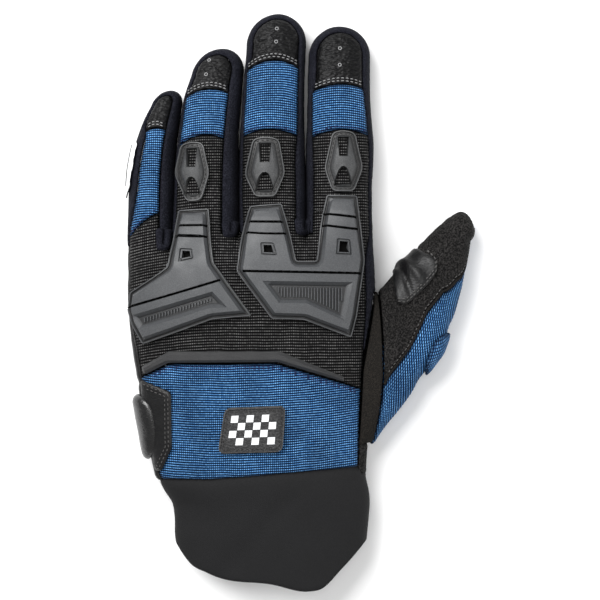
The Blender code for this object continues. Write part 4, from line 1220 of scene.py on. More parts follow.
class Finish:
    """Base of a finish: a Principled material on the piece's own map or on object coordinates."""

    name: str
    roughness: float
    depth: float
    shine: float = 0.5
    mapped: bool = False

    def look(self, nodes: Nodes, place: Socket, effects: Effects) -> Look:
        """The colour, the roughness and the height of the pattern, from 0 to 1."""
        raise NotImplementedError

    def make(self, effects: Effects) -> Material:
        """Makes the material from the shared effects."""
        material = bpy.data.materials.new(self.name)
        material.use_nodes = True
        nodes = Nodes(material.node_tree)
        place = nodes.add("TexCoord").outputs["UV" if self.mapped else "Object"]
        colour, rough, height = self.look(nodes, place, effects)
        bump = nodes.add("Bump", {"Height": height, "Distance": self.depth, "Strength": 1.0})
        inputs = {"Base Color": colour, "Roughness": rough, "Specular IOR Level": self.shine}
        for name, value in (*inputs.items(), ("Normal", bump.outputs["Normal"])):
            nodes.put(material.node_tree.nodes["Principled BSDF"].inputs[name], value)
        return material

    def kept(self, nodes: Nodes, name: str) -> Socket:
        """A value that the piece keeps, in metres: how far in from its rim, or how far raised."""
        return nodes.add("Attribute", attribute_name=name).outputs["Fac"]

    def fuzz(self, nodes: Nodes, place: Socket, effects: Effects, scale: float, patch: float) -> dict:
        """The outputs of the matted fibres at these scales."""
        inputs = {"Place": place, "Scale": scale, "Patch": patch}
        return nodes.add("Group", inputs, node_tree=effects.fuzz).outputs

    def rim_wear_and_sheen(self, nodes: Nodes, place: Socket, effects: Effects, reach: float, share: float) -> Socket:
        """How much the rim is paled by rubbed wear and painted sheen, up to a share."""
        inputs = {"Place": place, "Rim": self.kept(nodes, "rim"), "Reach": reach}
        group = nodes.add("Group", inputs, node_tree=effects.rim_wear_and_sheen)
        return nodes.math("MULTIPLY", group.outputs["Mask"], share)


@dataclass(frozen=True)
class KnitFinish(Finish):
    """Ribbed stretch cloth."""

    name: str
    gap: Colour
    yarn: Colour
    light: Colour
    knit: Knit
    roughness: float = 0.72
    depth: float = 0.00045
    shine: float = 0.12
    mapped: bool = True

    def look(self, nodes: Nodes, place: Socket, effects: Effects) -> Look:
        """Yarn with a painted highlight on its stitch tops, over gaps darkened as painted shade, with painted
        shade beside its seams.
        """
        inputs = {"Cloth": place, "Rib": self.knit.rib, "Stitch": self.knit.stitch}
        knit = nodes.add("Group", inputs, node_tree=effects.knit).outputs
        fuzz = self.fuzz(nodes, place, effects, 3200.0, 60.0)
        # Painted highlight: the tops of the stitches are mixed towards the light colour.
        stitch_highlight = nodes.math("MULTIPLY_ADD", knit["Tint"], 0.7, 0.3)
        stitch_highlight = nodes.math("MULTIPLY", stitch_highlight, nodes.math("POWER", knit["Face"], 7.0))
        yarn = nodes.mix(stitch_highlight, self.yarn, self.light)
        yarn = nodes.mix(nodes.math("MULTIPLY", fuzz["Patch"], 0.35), yarn, self.gap)
        # Painted shade: the gaps between the yarn take the dark gap colour.
        colour = nodes.mix(knit["Face"], self.gap, yarn)
        # Painted shade beside the seams, where the cloth rolls down to its rim.
        near = nodes.span(self.kept(nodes, "rim"), 0.0, 0.0014, 0.75, 0.0)
        return nodes.mix(near, colour, self.gap), self.roughness, knit["Height"]


@dataclass(frozen=True)
class LeatherFinish(Finish):
    """Grained black leather, paler along its edges by rubbed wear and painted sheen."""

    name: str = "grained_leather"
    base: Colour = (0.0018, 0.0018, 0.0022, 1.0)
    rubbed_and_sheen: Colour = (0.026, 0.025, 0.024, 1.0)
    scale: float = 900.0
    roughness: float = 0.40
    depth: float = 0.00030
    shine: float = 0.15

    def look(self, nodes: Nodes, place: Socket, effects: Effects) -> Look:
        """Black grain with rougher creases darkened as painted shade, paler along the rim by rubbed wear and
        painted sheen.
        """
        inputs = {"Place": place, "Scale": self.scale, "Creases": 0.5}
        grain = nodes.add("Group", inputs, node_tree=effects.grain).outputs
        # Paler rim: rubbed wear and painted sheen.
        top = nodes.mix(self.rim_wear_and_sheen(nodes, place, effects, 0.0012, 0.5), self.base, self.rubbed_and_sheen)
        # Painted shade in the grain's creases.
        colour = nodes.mix(nodes.math("MULTIPLY", grain["Crease"], 0.7), top, grey(0.003))
        rough = nodes.span(grain["Crease"], 0.0, 1.0, self.roughness, self.roughness + 0.1)
        return colour, rough, grain["Height"]


@dataclass(frozen=True)
class FuzzyFinish(Finish):
    """Suede, felted cloth or neoprene: a matt face of fine fibres or pores."""

    name: str
    base: Colour
    speck: Colour
    roughness: float = 0.92
    scale: float = 2600.0
    speckle: float = 0.5
    depth: float = 0.00010
    shine: float = 0.12

    def look(self, nodes: Nodes, place: Socket, effects: Effects) -> Look:
        """Specks on the base colour, fewer in patches."""
        fuzz = self.fuzz(nodes, place, effects, self.scale, 85.0)
        colour = nodes.mix(nodes.math("MULTIPLY", fuzz["Speckle"], self.speckle), self.base, self.speck)
        colour = nodes.mix(nodes.math("MULTIPLY", fuzz["Patch"], 0.3), colour, self.base)
        return colour, self.roughness, fuzz["Speckle"]


@dataclass(frozen=True)
class RubberFinish(Finish):
    """Moulded rubber with a fine spark-eroded texture, painted shade in its low places, and paler edges from
    rubbed wear and painted sheen.
    """

    name: str
    base: Colour
    rubbed_and_sheen: Colour
    roughness: float = 0.5
    scale: float = 3000.0
    depth: float = 0.00004
    shade: float = 0.0

    def look(self, nodes: Nodes, place: Socket, effects: Effects) -> Look:
        """A fine speckle, painted shade in its low places by a share, and paler along its rim by rubbed wear
        and painted sheen.
        """
        fuzz = self.fuzz(nodes, place, effects, self.scale, 130.0)
        colour = nodes.mix(nodes.math("MULTIPLY", fuzz["Speckle"], 0.22), self.base, self.rubbed_and_sheen)
        # Painted shade: where the piece is little raised, in recesses and at the foot of its slopes, it
        # darkens.
        low = nodes.span(self.kept(nodes, "raised"), 0.0003, 0.0016, self.shade, 0.0)
        colour = nodes.mix(low, colour, grey(0.006))
        # Paler rim: rubbed wear and painted sheen.
        colour = nodes.mix(self.rim_wear_and_sheen(nodes, place, effects, 0.0006, 0.6), colour, self.rubbed_and_sheen)
        rough = nodes.span(fuzz["Patch"], 0.0, 1.0, self.roughness - 0.06, self.roughness + 0.08)
        return colour, rough, fuzz["Speckle"]


@dataclass(frozen=True)
class ThreadFinish(Finish):
    """Sewing thread with its twist."""

    name: str
    base: Colour
    light: Colour
    roughness: float = 0.5
    depth: float = 0.00006
    mapped: bool = True

    def look(self, nodes: Nodes, place: Socket, effects: Effects) -> Look:
        """Slanting light and dark strands."""
        twist = nodes.add("TexWave", {"Vector": place, "Scale": 2.2, "Distortion": 0.4}).outputs["Fac"]
        return nodes.mix(twist, self.base, self.light), self.roughness, twist


class Wardrobe:
    """Every finish of the glove, made once."""

    def __init__(self) -> None:
        """Makes the shared effects and then each material."""
        effects = Effects()
        finishes = (
            # Each knit's colours: painted shade for its gaps and seams, its yarn, and the painted highlight
            # on its stitch tops.
            KnitFinish(
                "blue_knit",
                (0.001, 0.005, 0.018, 1),
                (0.015, 0.100, 0.290, 1),
                (0.200, 0.480, 0.880, 1),
                BLUE_KNIT,
            ),
            KnitFinish(
                "black_knit",
                (0.0012, 0.0012, 0.0014, 1),
                (0.004, 0.004, 0.0045, 1),
                (0.150, 0.148, 0.145, 1),
                BLACK_KNIT,
                0.8,
            ),
            LeatherFinish(),
            LeatherFinish("smooth_leather", scale=1500.0, roughness=0.42, depth=0.00006, shine=0.3),
            LeatherFinish("glossy_leather", scale=1500.0, roughness=0.24, depth=0.00004, shine=0.6),
            FuzzyFinish(
                "suede", (0.002, 0.002, 0.002, 1), (0.034, 0.032, 0.031, 1), 0.9, 1500.0, 0.9, 0.0002
            ),
            FuzzyFinish("side_cloth", (0.003, 0.0033, 0.006, 1), (0.020, 0.021, 0.030, 1), 0.9, 1900.0, 0.8),
            FuzzyFinish(
                "neoprene", (0.009, 0.009, 0.0095, 1), (0.017, 0.017, 0.018, 1), 0.7, 3600.0, 0.6, 0.00005
            ),
            FuzzyFinish("piping", (0.006, 0.0055, 0.005, 1), (0.036, 0.031, 0.026, 1), scale=2200.0),
            RubberFinish("guard_rubber", (0.033, 0.035, 0.038, 1), (0.155, 0.160, 0.167, 1), shade=0.95),
            RubberFinish("shield_rubber", (0.019, 0.020, 0.021, 1), (0.165, 0.168, 0.172, 1), shade=0.95),
            RubberFinish("bar_rubber", (0.012, 0.012, 0.013, 1), (0.062, 0.063, 0.065, 1), 0.6, shade=0.6),
            RubberFinish(
                "badge_rubber", (0.010, 0.010, 0.011, 1), (0.140, 0.139, 0.138, 1), 0.7, 1300.0, 0.00020
            ),
            RubberFinish("pale_rubber", (0.78, 0.79, 0.80, 1), (0.88, 0.88, 0.88, 1), 0.45),
            FuzzyFinish("hole_shade", (0.001, 0.001, 0.001, 1), (0.002, 0.002, 0.002, 1)),
            ThreadFinish("black_thread", (0.006, 0.006, 0.006, 1), (0.045, 0.044, 0.043, 1)),
            ThreadFinish("dull_thread", (0.020, 0.020, 0.020, 1), (0.130, 0.125, 0.120, 1)),
            ThreadFinish("grey_thread", (0.110, 0.112, 0.116, 1), (0.420, 0.420, 0.425, 1)),
            ThreadFinish("blue_thread", (0.002, 0.004, 0.040, 1), (0.008, 0.016, 0.120, 1)),
        )
        self.by_name = {finish.name: finish.make(effects) for finish in finishes}

    def __getitem__(self, name: str) -> Material:
        """The material of that name."""
        return self.by_name[name]


@dataclass
class Row:
    """One row of stitches: its chart, its path on it, and how high it lies."""

    chart: Chart
    path: list[Point]
    lift: float = 0.0001


@dataclass
class Stitching:
    """Sewn rows, made of short bars of thread."""

    length: float = 0.0013
    gap: float = 0.0006
    thick: float = 0.00042

    def bar(self) -> tuple[Array, list[list[int]]]:
        """One stitch along X, rounded and sunk at both ends."""
        bpy.ops.object.select_all(action="DESELECT")
        bpy.ops.mesh.primitive_uv_sphere_add(segments=6, ring_count=5, radius=0.5)
        made = bpy.context.object
        bpy.ops.object.mode_set(mode="EDIT")
        bpy.ops.mesh.select_all(action="SELECT")
        bpy.ops.transform.rotate(value=math.pi / 2, orient_axis="Y", center_override=(0, 0, 0))
        bpy.ops.object.mode_set(mode="OBJECT")
        points = np.array([tuple(v.co) for v in made.data.vertices])
        faces = [list(p.vertices) for p in made.data.polygons]
        bpy.data.objects.remove(made)
        points = np.sign(points) * np.abs(points * 2) ** 0.8 / 2
        points = points * (self.length, self.thick, self.thick)
        points[:, 2] -= (points[:, 0] / self.length) ** 2 * self.thick * 1.6
        return points, faces

    def places(self, row: Row) -> tuple[Array, Array, Array]:
        """Middle, direction and outward normal of every stitch of a row."""
        path = np.array(row.path, float)
        steps = np.linspace(0, 1, 24, endpoint=False)[:, None]
        fine = np.concatenate([*(a + (b - a) * steps for a, b in zip(path, path[1:])), path[-1:]])
        solid = row.chart(*fine.T)
        run = np.concatenate([[0], np.cumsum(np.linalg.norm(np.diff(solid, axis=0), axis=1))])
        count = max(1, round(run[-1] / (self.length + self.gap)))
        middles = (np.arange(count) + 0.5) / count * run[-1]

        def on_path(distances: Array) -> tuple[Array, Array]:
            """Chart places at distances along the row."""
            return np.interp(distances, run, fine[:, 0]), np.interp(distances, run, fine[:, 1])

        u, v = on_path(middles)
        reach = self.length / 2
        along = row.chart(*on_path(middles + reach)) - row.chart(*on_path(middles - reach))
        along = along / np.linalg.norm(along, axis=1, keepdims=True)
        spread = np.ptp(fine, axis=0).max() * 1e-3
        normal = outward(row.chart, u, v, (spread, spread))
        return row.chart(u, v) + row.lift * normal + CENTRING, along, normal

    def sew(self, name: str, rows: Sequence[Row], material: Material) -> Piece:
        """Makes rows of stitches as one piece.

        Args:
            name: The piece's name.
            rows: The rows.
            material: The thread.

        Returns:
            The piece, riding on the glove.
        """
        points, faces = self.bar()
        own = points / (self.length, self.thick, self.thick)
        verts = []
        shell = []
        for row in rows:
            for middle, along, normal in zip(*self.places(row)):
                first = len(verts) * len(points)
                verts.append(middle + points @ np.stack([along, np.cross(normal, along), normal]))
                shell += [[k + first for k in face] for face in faces]
        cloth = np.tile(own[:, :2] + own[:, 2:], (len(verts), 1))
        return new_piece(name, np.concatenate(verts), shell, [material], cloth)


def dress(piece: Piece, node: str | None = None) -> Piece:
    """Hides the CAD node that a piece stands for, and logs the piece's faces."""
    if node:
        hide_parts(node)
    log.info("%s: %d faces", piece.name, len(piece.data.polygons))
    return piece


@dataclass
class Assembly:
    """A sub-assembly of the glove: the form that it lies on, its finishes and its sewing."""

    form: Form
    wardrobe: Wardrobe
    sewing: Stitching

    def lay(self, panel: Panel, slot: str, node: str | None, *finishes: str) -> Piece:
        """Builds a panel in its finishes and dresses it.

        Args:
            panel: The panel.
            slot: Not used.
            node: The CAD node that it stands for, if it does.
            finishes: Its own finish, and that of the floors of its holes.

        Returns:
            The piece.
        """
        return dress(panel.build(*(self.wardrobe[name] for name in finishes)), node)

    def sew(self, name: str, rows: Sequence[Row], thread: str, slot: str) -> None:
        """Sews rows of stitches in a thread as one piece."""
        dress(self.sewing.sew(name, rows, self.wardrobe[thread]))


def round_tip(ends: Point, walls: int, tip: int) -> Array:
    """Stations between a finger's ends, walls of them on either side and tip round its tip."""
    up, over = np.linspace(ends[0], 1, walls), np.linspace(1, 2, tip)[1:]
    return np.concatenate([up, over, np.linspace(2, ends[1], walls)[1:]])


@dataclass
class FingerShell(Assembly):
    """One finger: leather cap, stretch band, sidewall and its stitches."""

    finger: Finger
    steps: int = 14
    arch: float = 0.0016
    cap_lie: Lie = Lie(0.0009, 0.0016, 0, 0.00010, 0.006)
    wall_lie: Lie = Lie(0.0006, 0.0012, 0.00015)
    hole_radius: float = 0.0006
    dimple: float = 0.00035
    groove: float = 0.00022
    swell: float = 0.0007
    cap_rows: Point = (0.0013, 0.0025)
    cap_trim: float = 0.0008
    foot_row: float = 0.0014
    foot_trim: float = 0.0010

    def __post_init__(self) -> None:
        """Looks up the finger's seams and its air holes."""
        self.name = self.finger.name
        self.top = BAND_TOP[self.name]
        self.foot = BAND_FOOT[self.name]
        shares, aside = AIR_HOLES[self.name]
        heights = [self.finger.at(share) for share in shares]
        self.holes = [(float(self.finger.middle(y)) + aside, y) for y in heights]

    def edge_point(self, station: float, gap: float = SEAM / 2) -> Point:
        """Plan point where the pieces on the back end, in from the wall by a gap."""
        share = self.finger.edge_share(station) - gap / self.finger.tip_radius
        return point(*self.finger.outline(station, share))

    def edge_run(self, side: Side, start: float, end: float) -> list[Point]:
        """Plan points up the right or down the left edge between two shares, ends left out."""
        stations = [self.finger.station(a, side) for a in np.linspace(start, end, self.steps)[1:-1]]
        return [self.edge_point(station) for station in sorted(stations)]

    def crossing(self, shares: tuple[float, float, float], shift: float, trim: float = 0) -> list[Point]:
        """Draws a seam across the finger's back from its left edge to its right.

        Args:
            shares: Its left, middle and right, as shares of the finger's length.
            shift: How far it is moved along y.
            trim: How far it stops short of either edge.

        Returns:
            Its plan points.
        """
        left = self.edge_point(self.finger.station(shares[0], Side.LEFT), SEAM / 2 + trim)
        right = self.edge_point(self.finger.station(shares[2], Side.RIGHT), SEAM / 2 + trim)
        rise_over = self.finger.at(shares[1]) - (left[1] + right[1]) / 2
        points = []
        for t in np.linspace(0, 1, self.steps):
            y = left[1] + (right[1] - left[1]) * t + rise_over * (1 - (2 * t - 1) ** 2) + shift
            points.append((left[0] + (right[0] - left[0]) * t, y))
        return points

    def cap(self) -> None:
        """Leather over the fingertip."""
        last = self.finger.reach / self.finger.length
        outline = self.crossing(self.top, SEAM / 2)
        outline += self.edge_run(Side.RIGHT, self.top[2], last)
        outline += [self.edge_point(station) for station in np.linspace(1, 2, 33)]
        outline += self.edge_run(Side.LEFT, last, self.top[0])
        panel = Panel(f"{self.name}_leather_cap", self.form.back, outline, (0.0009, 0.0009))
        panel.relief = self.cap_relief
        self.lay(panel, "leather", f"{self.name}_tip_cap", "grained_leather")

    def cap_relief(self, u: Array, v: Array, rim: Array) -> Array:
        """Rolled edges, a groove under the stitches and small dimples at the air holes."""
        left, middle, right = (self.finger.at(share) for share in self.top)
        line = v - (middle - (middle - (left + right) / 2) * self.finger.across(u, v) ** 2)
        height = self.cap_lie(u, v, rim) - self.groove * hump(line - sum(self.cap_rows) / 2, 0.0008)
        for x, y in self.holes:
            height = height - self.dimple * hump(np.hypot(u - x, v - y), self.hole_radius)
        return height

    def band(self) -> None:
        """Stretch cloth between the cap and the hand's back."""
        outline = self.crossing(self.foot, SEAM / 2)
        outline += self.edge_run(Side.RIGHT, self.foot[2], self.top[2])
        outline += self.crossing(self.top, -SEAM / 2)[::-1]
        outline += self.edge_run(Side.LEFT, self.top[0], self.foot[0])
        panel = Panel(f"{self.name}_blue_band", self.form.back, outline, (0.0012, 0.00024))
        panel.weave = self.weave
        panel.knit = BLUE_KNIT
        panel.relief = Lie()
        self.lay(panel, "ribbed_blue", f"{self.name}_stretch_band", "blue_knit")

    def weave(self, u: Array, v: Array) -> Array:
        """The band's cloth map: its rows arch over the finger."""
        return np.stack([u, v + self.arch * self.finger.across(u, v) ** 2], -1)

    def sidewall(self) -> None:
        """The strip from one root round the fingertip to the other."""
        finger = self.finger
        gap = SEAM / 2 / finger.tip_radius
        stations = round_tip(self.form.ends(finger), 40, 41)
        top = [point(s, roll_of_share(finger.edge_share(s) + gap)) for s in stations]
        under = [point(s, -roll_of_share(PALM_EDGE + gap)) for s in stations]
        cell, metric = (0.0014 / finger.reach, 0.0009), (finger.reach, 1.0)
        chart = self.form.finger_wall(finger)
        panel = Panel(f"{self.name}_side_cloth", chart, under + top[::-1], cell, metric)
        panel.relief = self.wall_relief
        self.lay(panel, "fourchette_cloth", f"{self.name}_sidewall", "side_cloth")

    def wall_relief(self, u: Array, v: Array, rim: Array) -> Array:
        """Soft edges, and cloth that bulges until it touches the next finger's."""
        station = u / self.finger.reach
        inner = np.zeros(len(u))
        for side, outermost in ((Side.RIGHT, INDEX), (Side.LEFT, LITTLE)):
            if outermost.name != self.name:
                inner += np.where((station < 1.5) == (side is Side.RIGHT), 1.0, 0.0)
        low = ease((0.66 - self.finger.climb(station)) / 0.25)
        return self.wall_lie(u, v, rim) + self.swell * inner * low * ease(rim / 0.004)

    def stitches(self) -> None:
        """The rows on the cap and at the band's foot."""
        back = self.form.back
        rows = [Row(back, self.crossing(self.top, shift, self.cap_trim)) for shift in self.cap_rows]
        self.sew(f"{self.name}_cap_stitches", rows, "grey_thread", "leather")
        rows = [Row(back, self.crossing(self.foot, self.foot_row, self.foot_trim))]
        self.sew(f"{self.name}_band_stitches", rows, "blue_thread", "ribbed_blue")

    def eyelets(self) -> None:
        """Punched rims round the cap's air holes."""
        for number, place in enumerate(self.holes):
            x, y = np.array([place]).T
            spot = self.form.back(x, y)[0] + CENTRING
            normal = Vector(outward(self.form.back, x, y, (1e-4, 1e-4))[0])
            bpy.ops.object.select_all(action="DESELECT")
            bpy.ops.mesh.primitive_torus_add(
                major_segments=16, minor_segments=6, major_radius=0.00062, minor_radius=0.00018
            )
            ring = bpy.context.object
            bpy.ops.object.mode_set(mode="EDIT")
            bpy.ops.mesh.primitive_circle_add(vertices=16, radius=self.hole_radius, fill_type="TRIFAN")
            bpy.ops.object.mode_set(mode="OBJECT")
            ring.name = f"{self.name}_air_hole_{number + 1}"
            turn = normal.to_track_quat("Z", "Y").to_matrix().to_4x4()
            ring.data.transform(Matrix.Translation(Vector(spot) - normal * 0.00008) @ turn)
            for finish in ("grey_thread", "hole_shade"):
                ring.data.materials.append(self.wardrobe[finish])
            # The disc in each hole is painted black as painted shade.
            paint = [int(len(face.vertices) == 3) for face in ring.data.polygons]
            ring.data.polygons.foreach_set("material_index", paint)
            ring.data.shade_smooth()
            dress(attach(ring, "root"))

    def build(self) -> None:
        """Builds every piece of the finger."""
        self.cap()
        self.band()
        self.sidewall()
        self.stitches()
        self.eyelets()


@dataclass
class HandShell(Assembly):
    """The hand: its ribbed back, its suede palm and the cloth down its two sides."""

    fingers: tuple[FingerShell, ...]
    steps: int = 18
    palm_lie: Lie = Lie(0.0006, 0.0014, 0, 0.00016, 0.017)
    leather_lie: Lie = Lie(0.0007, 0.0014, 0, 0.00015, 0.009)
    crotch_lie: Lie = Lie(0.0008, 0.0012, 0, 0)
    crease: float = 0.00030
    buckle: float = 0.0006
    slit: float = 0.0022
    palm_row: float = 0.0016
    outer_row: float = 0.0014

    def side_share(self, side: Side, face: Face, along: float) -> float:
        """Where the pieces on the hand's back or palm end, as a share of the half width."""
        table = RIGHT_EDGE if side is Side.RIGHT else LEFT_EDGE
        return float(np.interp(along, table["along"], table[face]))

    def side_run(self, side: Side, face: Face, start: float, end: float) -> list[Point]:
        """Plan points along the edge of the back or the palm, half a seam in."""
        return [
            hand_point(self.form, side * (self.side_share(side, face, a) - SEAM_SHARE), a)
            for a in np.linspace(start, end, self.steps)
        ]

    def wrist_line(self, shift: float) -> list[Point]:
        """The seam between the back of the hand and the wrist panel, left to right."""
        points = np.array(hand_outline(self.form, WRIST_SEAM))
        x = np.linspace(points[0, 0], points[-1, 0], 40)
        return [(float(a), float(np.interp(a, points[:, 0], points[:, 1])) + shift) for a in x]

    def cuff_line(self, start: float, end: float, shift: float) -> list[Point]:
        """Plan points of the seam between the hand and the cuff."""
        points = []
        for across in np.linspace(start, end, 40):
            along = float(np.interp(across, CUFF_SEAM["across"], CUFF_SEAM["along"]))
            x, y = hand_point(self.form, across, along)
            points.append((x, y + shift))
        return points

    def back(self) -> None:
        """Ribbed cloth over the back of the hand and the roots of the fingers."""
        outline = self.wrist_line(SEAM / 2)
        outline += self.side_run(Side.RIGHT, Face.BACK, 0.60, 0.06)
        for shell in reversed(self.fingers):
            right, left = self.form.starts(shell.finger)
            first, last = (shell.edge_point(station) for station in self.form.ends(shell.finger))
            outline.append((first[0], first[1] - SEAM))
            outline += shell.edge_run(Side.RIGHT, right, shell.foot[2])
            outline += shell.crossing(shell.foot, -SEAM / 2)[::-1]
            outline += shell.edge_run(Side.LEFT, shell.foot[0], left)
            outline.append((last[0], last[1] - SEAM))
        outline += self.side_run(Side.LEFT, Face.BACK, 0.06, 0.57)
        panel = Panel("back_cloth", self.form.back, outline, (0.0014, 0.0003))
        panel.weave = self.back_weave
        panel.knit = BLACK_KNIT
        panel.relief = Lie()
        self.lay(panel, "ribbed_black", "back_panel", "black_knit")

    def back_weave(self, u: Array, v: Array) -> Array:
        """The back's cloth map: rows across the hand, pulled down towards its outer side."""
        left = np.maximum(HAND_MIDDLE - 0.012 - u, 0)
        return np.stack([u, v + left**2 * 3.2], -1)

    def palm(self) -> None:
        """One piece of suede under the hand, the fingers and up to the thumb."""
        edge = PALM_EDGE - SEAM_SHARE
        outline = self.cuff_line(-edge, edge, SEAM / 2)
        corner = ((edge, THUMB_LOW + 0.008), (0.88, THUMB_LOW + 0.004))
        outline += [hand_point(self.form, *place) for place in corner]
        for angle in np.linspace(324, 216, 15):
            x, y, _ = self.form.thumb(0.0, angle)
            outline.append((float(x) - 1.6 * SEAM, float(y)))
        corner = ((0.88, THUMB_HIGH + 0.002), (edge, THUMB_HIGH + 0.002))
        outline += [hand_point(self.form, *place) for place in corner]
        outline += self.side_run(Side.RIGHT, Face.PALM, THUMB_HIGH, 0.06)
        for shell in reversed(self.fingers):
            finger = shell.finger
            ends = self.form.ends(finger)
            for station in round_tip(ends, 14, 21):
                x, y = finger.outline(station, PALM_EDGE - SEAM / 2 / finger.tip_radius)
                outline.append((float(x), float(y) - (SEAM if station in ends else 0)))
        outline += self.side_run(Side.LEFT, Face.PALM, 0.09, 0.97)
        turned = [(-x, y) for x, y in reversed(outline)]
        panel = Panel("palm_suede", self.form.front, turned, (0.0016, 0.0016))
        panel.relief = self.palm_relief
        self.lay(panel, "suede", "palm_panel", "suede")

    def palm_relief(self, u: Array, v: Array, rim: Array) -> Array:
        """Rolled edges and creases where the fingers and the palm bend."""
        height = self.palm_lie(u, v, rim)
        for line, slope in PALM_CREASES:
            height = height - self.crease * hump(v - line - slope * (u + HAND_MIDDLE), 0.0011)
        return height

    def wall_line(self, side: Side, face: Face, alongs: Array, gap: float) -> list[Point]:
        """Points of a wall beside the edge of the back or the palm.

        Args:
            side: The side of the hand.
            face: Whether it runs beside the back or the palm.
            alongs: Shares of the hand's length.
            gap: How far from that edge, in seams.

        Returns:
            The points, on the wall's chart.
        """
        turn = 1 if face is Face.BACK else -1
        gap = gap * SEAM / KNUCKLE_WIDTH
        places = [(float(a), self.side_share(side, face, float(a)) + gap) for a in alongs]
        return [wall_point(side, *place, turn) for place in places]

    def sides(self) -> None:
        """Leather round the outer edge, and cloth and suede on the thumb side."""
        left, right = self.form.hand_wall(Side.LEFT), self.form.hand_wall(Side.RIGHT)
        alongs = np.linspace((ROOT_Y - self.fingers[0].finger.root_y - TUCK) / HAND_LENGTH, 1.02, 50)
        top, under = (self.wall_line(Side.LEFT, face, alongs, 2.2) for face in Face)
        panel = Panel("outer_leather", left, under + top[::-1], (0.0012, 0.0009))
        panel.relief = self.crease_relief
        self.lay(panel, "leather", "outer_side", "smooth_leather")

        start, turn, end = -TUCK / HAND_LENGTH, THUMB_HIGH - 0.006, 0.48
        outline = self.wall_line(Side.RIGHT, Face.BACK, np.linspace(start, end, 30), 1.3)
        shares = (turn, 0.36, end), (0.990, 0.963, 0.935)
        for a in map(float, np.linspace(turn, end, 12)[::-1]):
            outline.append(wall_point(Side.RIGHT, a, float(np.interp(a, *shares)), 1))
        outline += self.wall_line(Side.RIGHT, Face.PALM, np.linspace(start, turn, 20), 1.3)[::-1]
        panel = Panel("thumb_side_cloth", right, outline, (0.0012, 0.0009), relief=Lie(0.0006, 0.0012))
        self.lay(panel, "fourchette_cloth", "thumb_side_strip", "side_cloth")

        alongs = np.linspace(THUMB_LOW - 0.014, 0.990, 10)
        top, under = (self.wall_line(Side.RIGHT, face, alongs, 2.6) for face in Face)
        panel = Panel("wrist_side_suede", right, top + under[::-1], (0.0009, 0.0009))
        panel.relief = Lie(0.0005, 0.0010)
        self.lay(panel, "suede", "wrist_side", "suede")

    def crease_relief(self, u: Array, v: Array, rim: Array) -> Array:
        """Leather that buckles where the hand's edge bends at the wrist."""
        bend = -(ROOT_Y - 0.62 * HAND_LENGTH)
        return self.leather_lie(u, v, rim) - self.buckle * hump(u - bend + 0.3 * v, 0.0016)

    def stitches(self) -> None:
        """The row that holds the palm's edge round each finger, and the rows down the hand."""
        rows = []
        for finger in self.form.fingers:
            stations = np.linspace(*self.form.ends(finger), 40)
            x, y = finger.outline(stations, PALM_EDGE - self.palm_row / finger.tip_radius)
            rows.append(Row(self.form.front, [point(*place) for place in zip(-x, y)][::-1]))
        edge = self.side_run(Side.LEFT, Face.PALM, 0.10, 0.95)
        rows.append(Row(self.form.front, [(-x - self.outer_row, y) for x, y in edge]))
        self.sew("palm_stitches", rows, "black_thread", "suede")

    def crotches(self) -> None:
        """Soft cloth set in between the fingers, with the slit where it folds."""
        for name, (left, right, top, foot) in CROTCHES.items():
            middle, half = (left + right) / 2, (right - left) / 2
            corners = [(left, top), (left + half * 0.25, foot), (right - half * 0.25, foot), (right, top)]

            def relief(u: Array, v: Array, rim: Array) -> Array:
                """Rolled edges and a swell on either side of the slit."""
                slit = hump(u - middle, 0.0005) * ease((v - foot - 0.0016) / 0.0015)
                return self.crotch_lie(u, v, rim) + 0.0006 * ease(rim / 0.0016) - self.slit * slit

            panel = Panel(f"{name}_crotch", self.form.back, rounded(corners, 0.0020, 6), (0.0004, 0.0006))
            panel.thickness = 0.0010
            panel.lift = 0.0001
            panel.relief = relief
            self.lay(panel, "fourchette_cloth", None, "side_cloth")

    def build(self) -> None:
        """Builds every piece of the hand."""
        self.back()
        self.palm()
        self.sides()
        self.stitches()
        self.crotches()


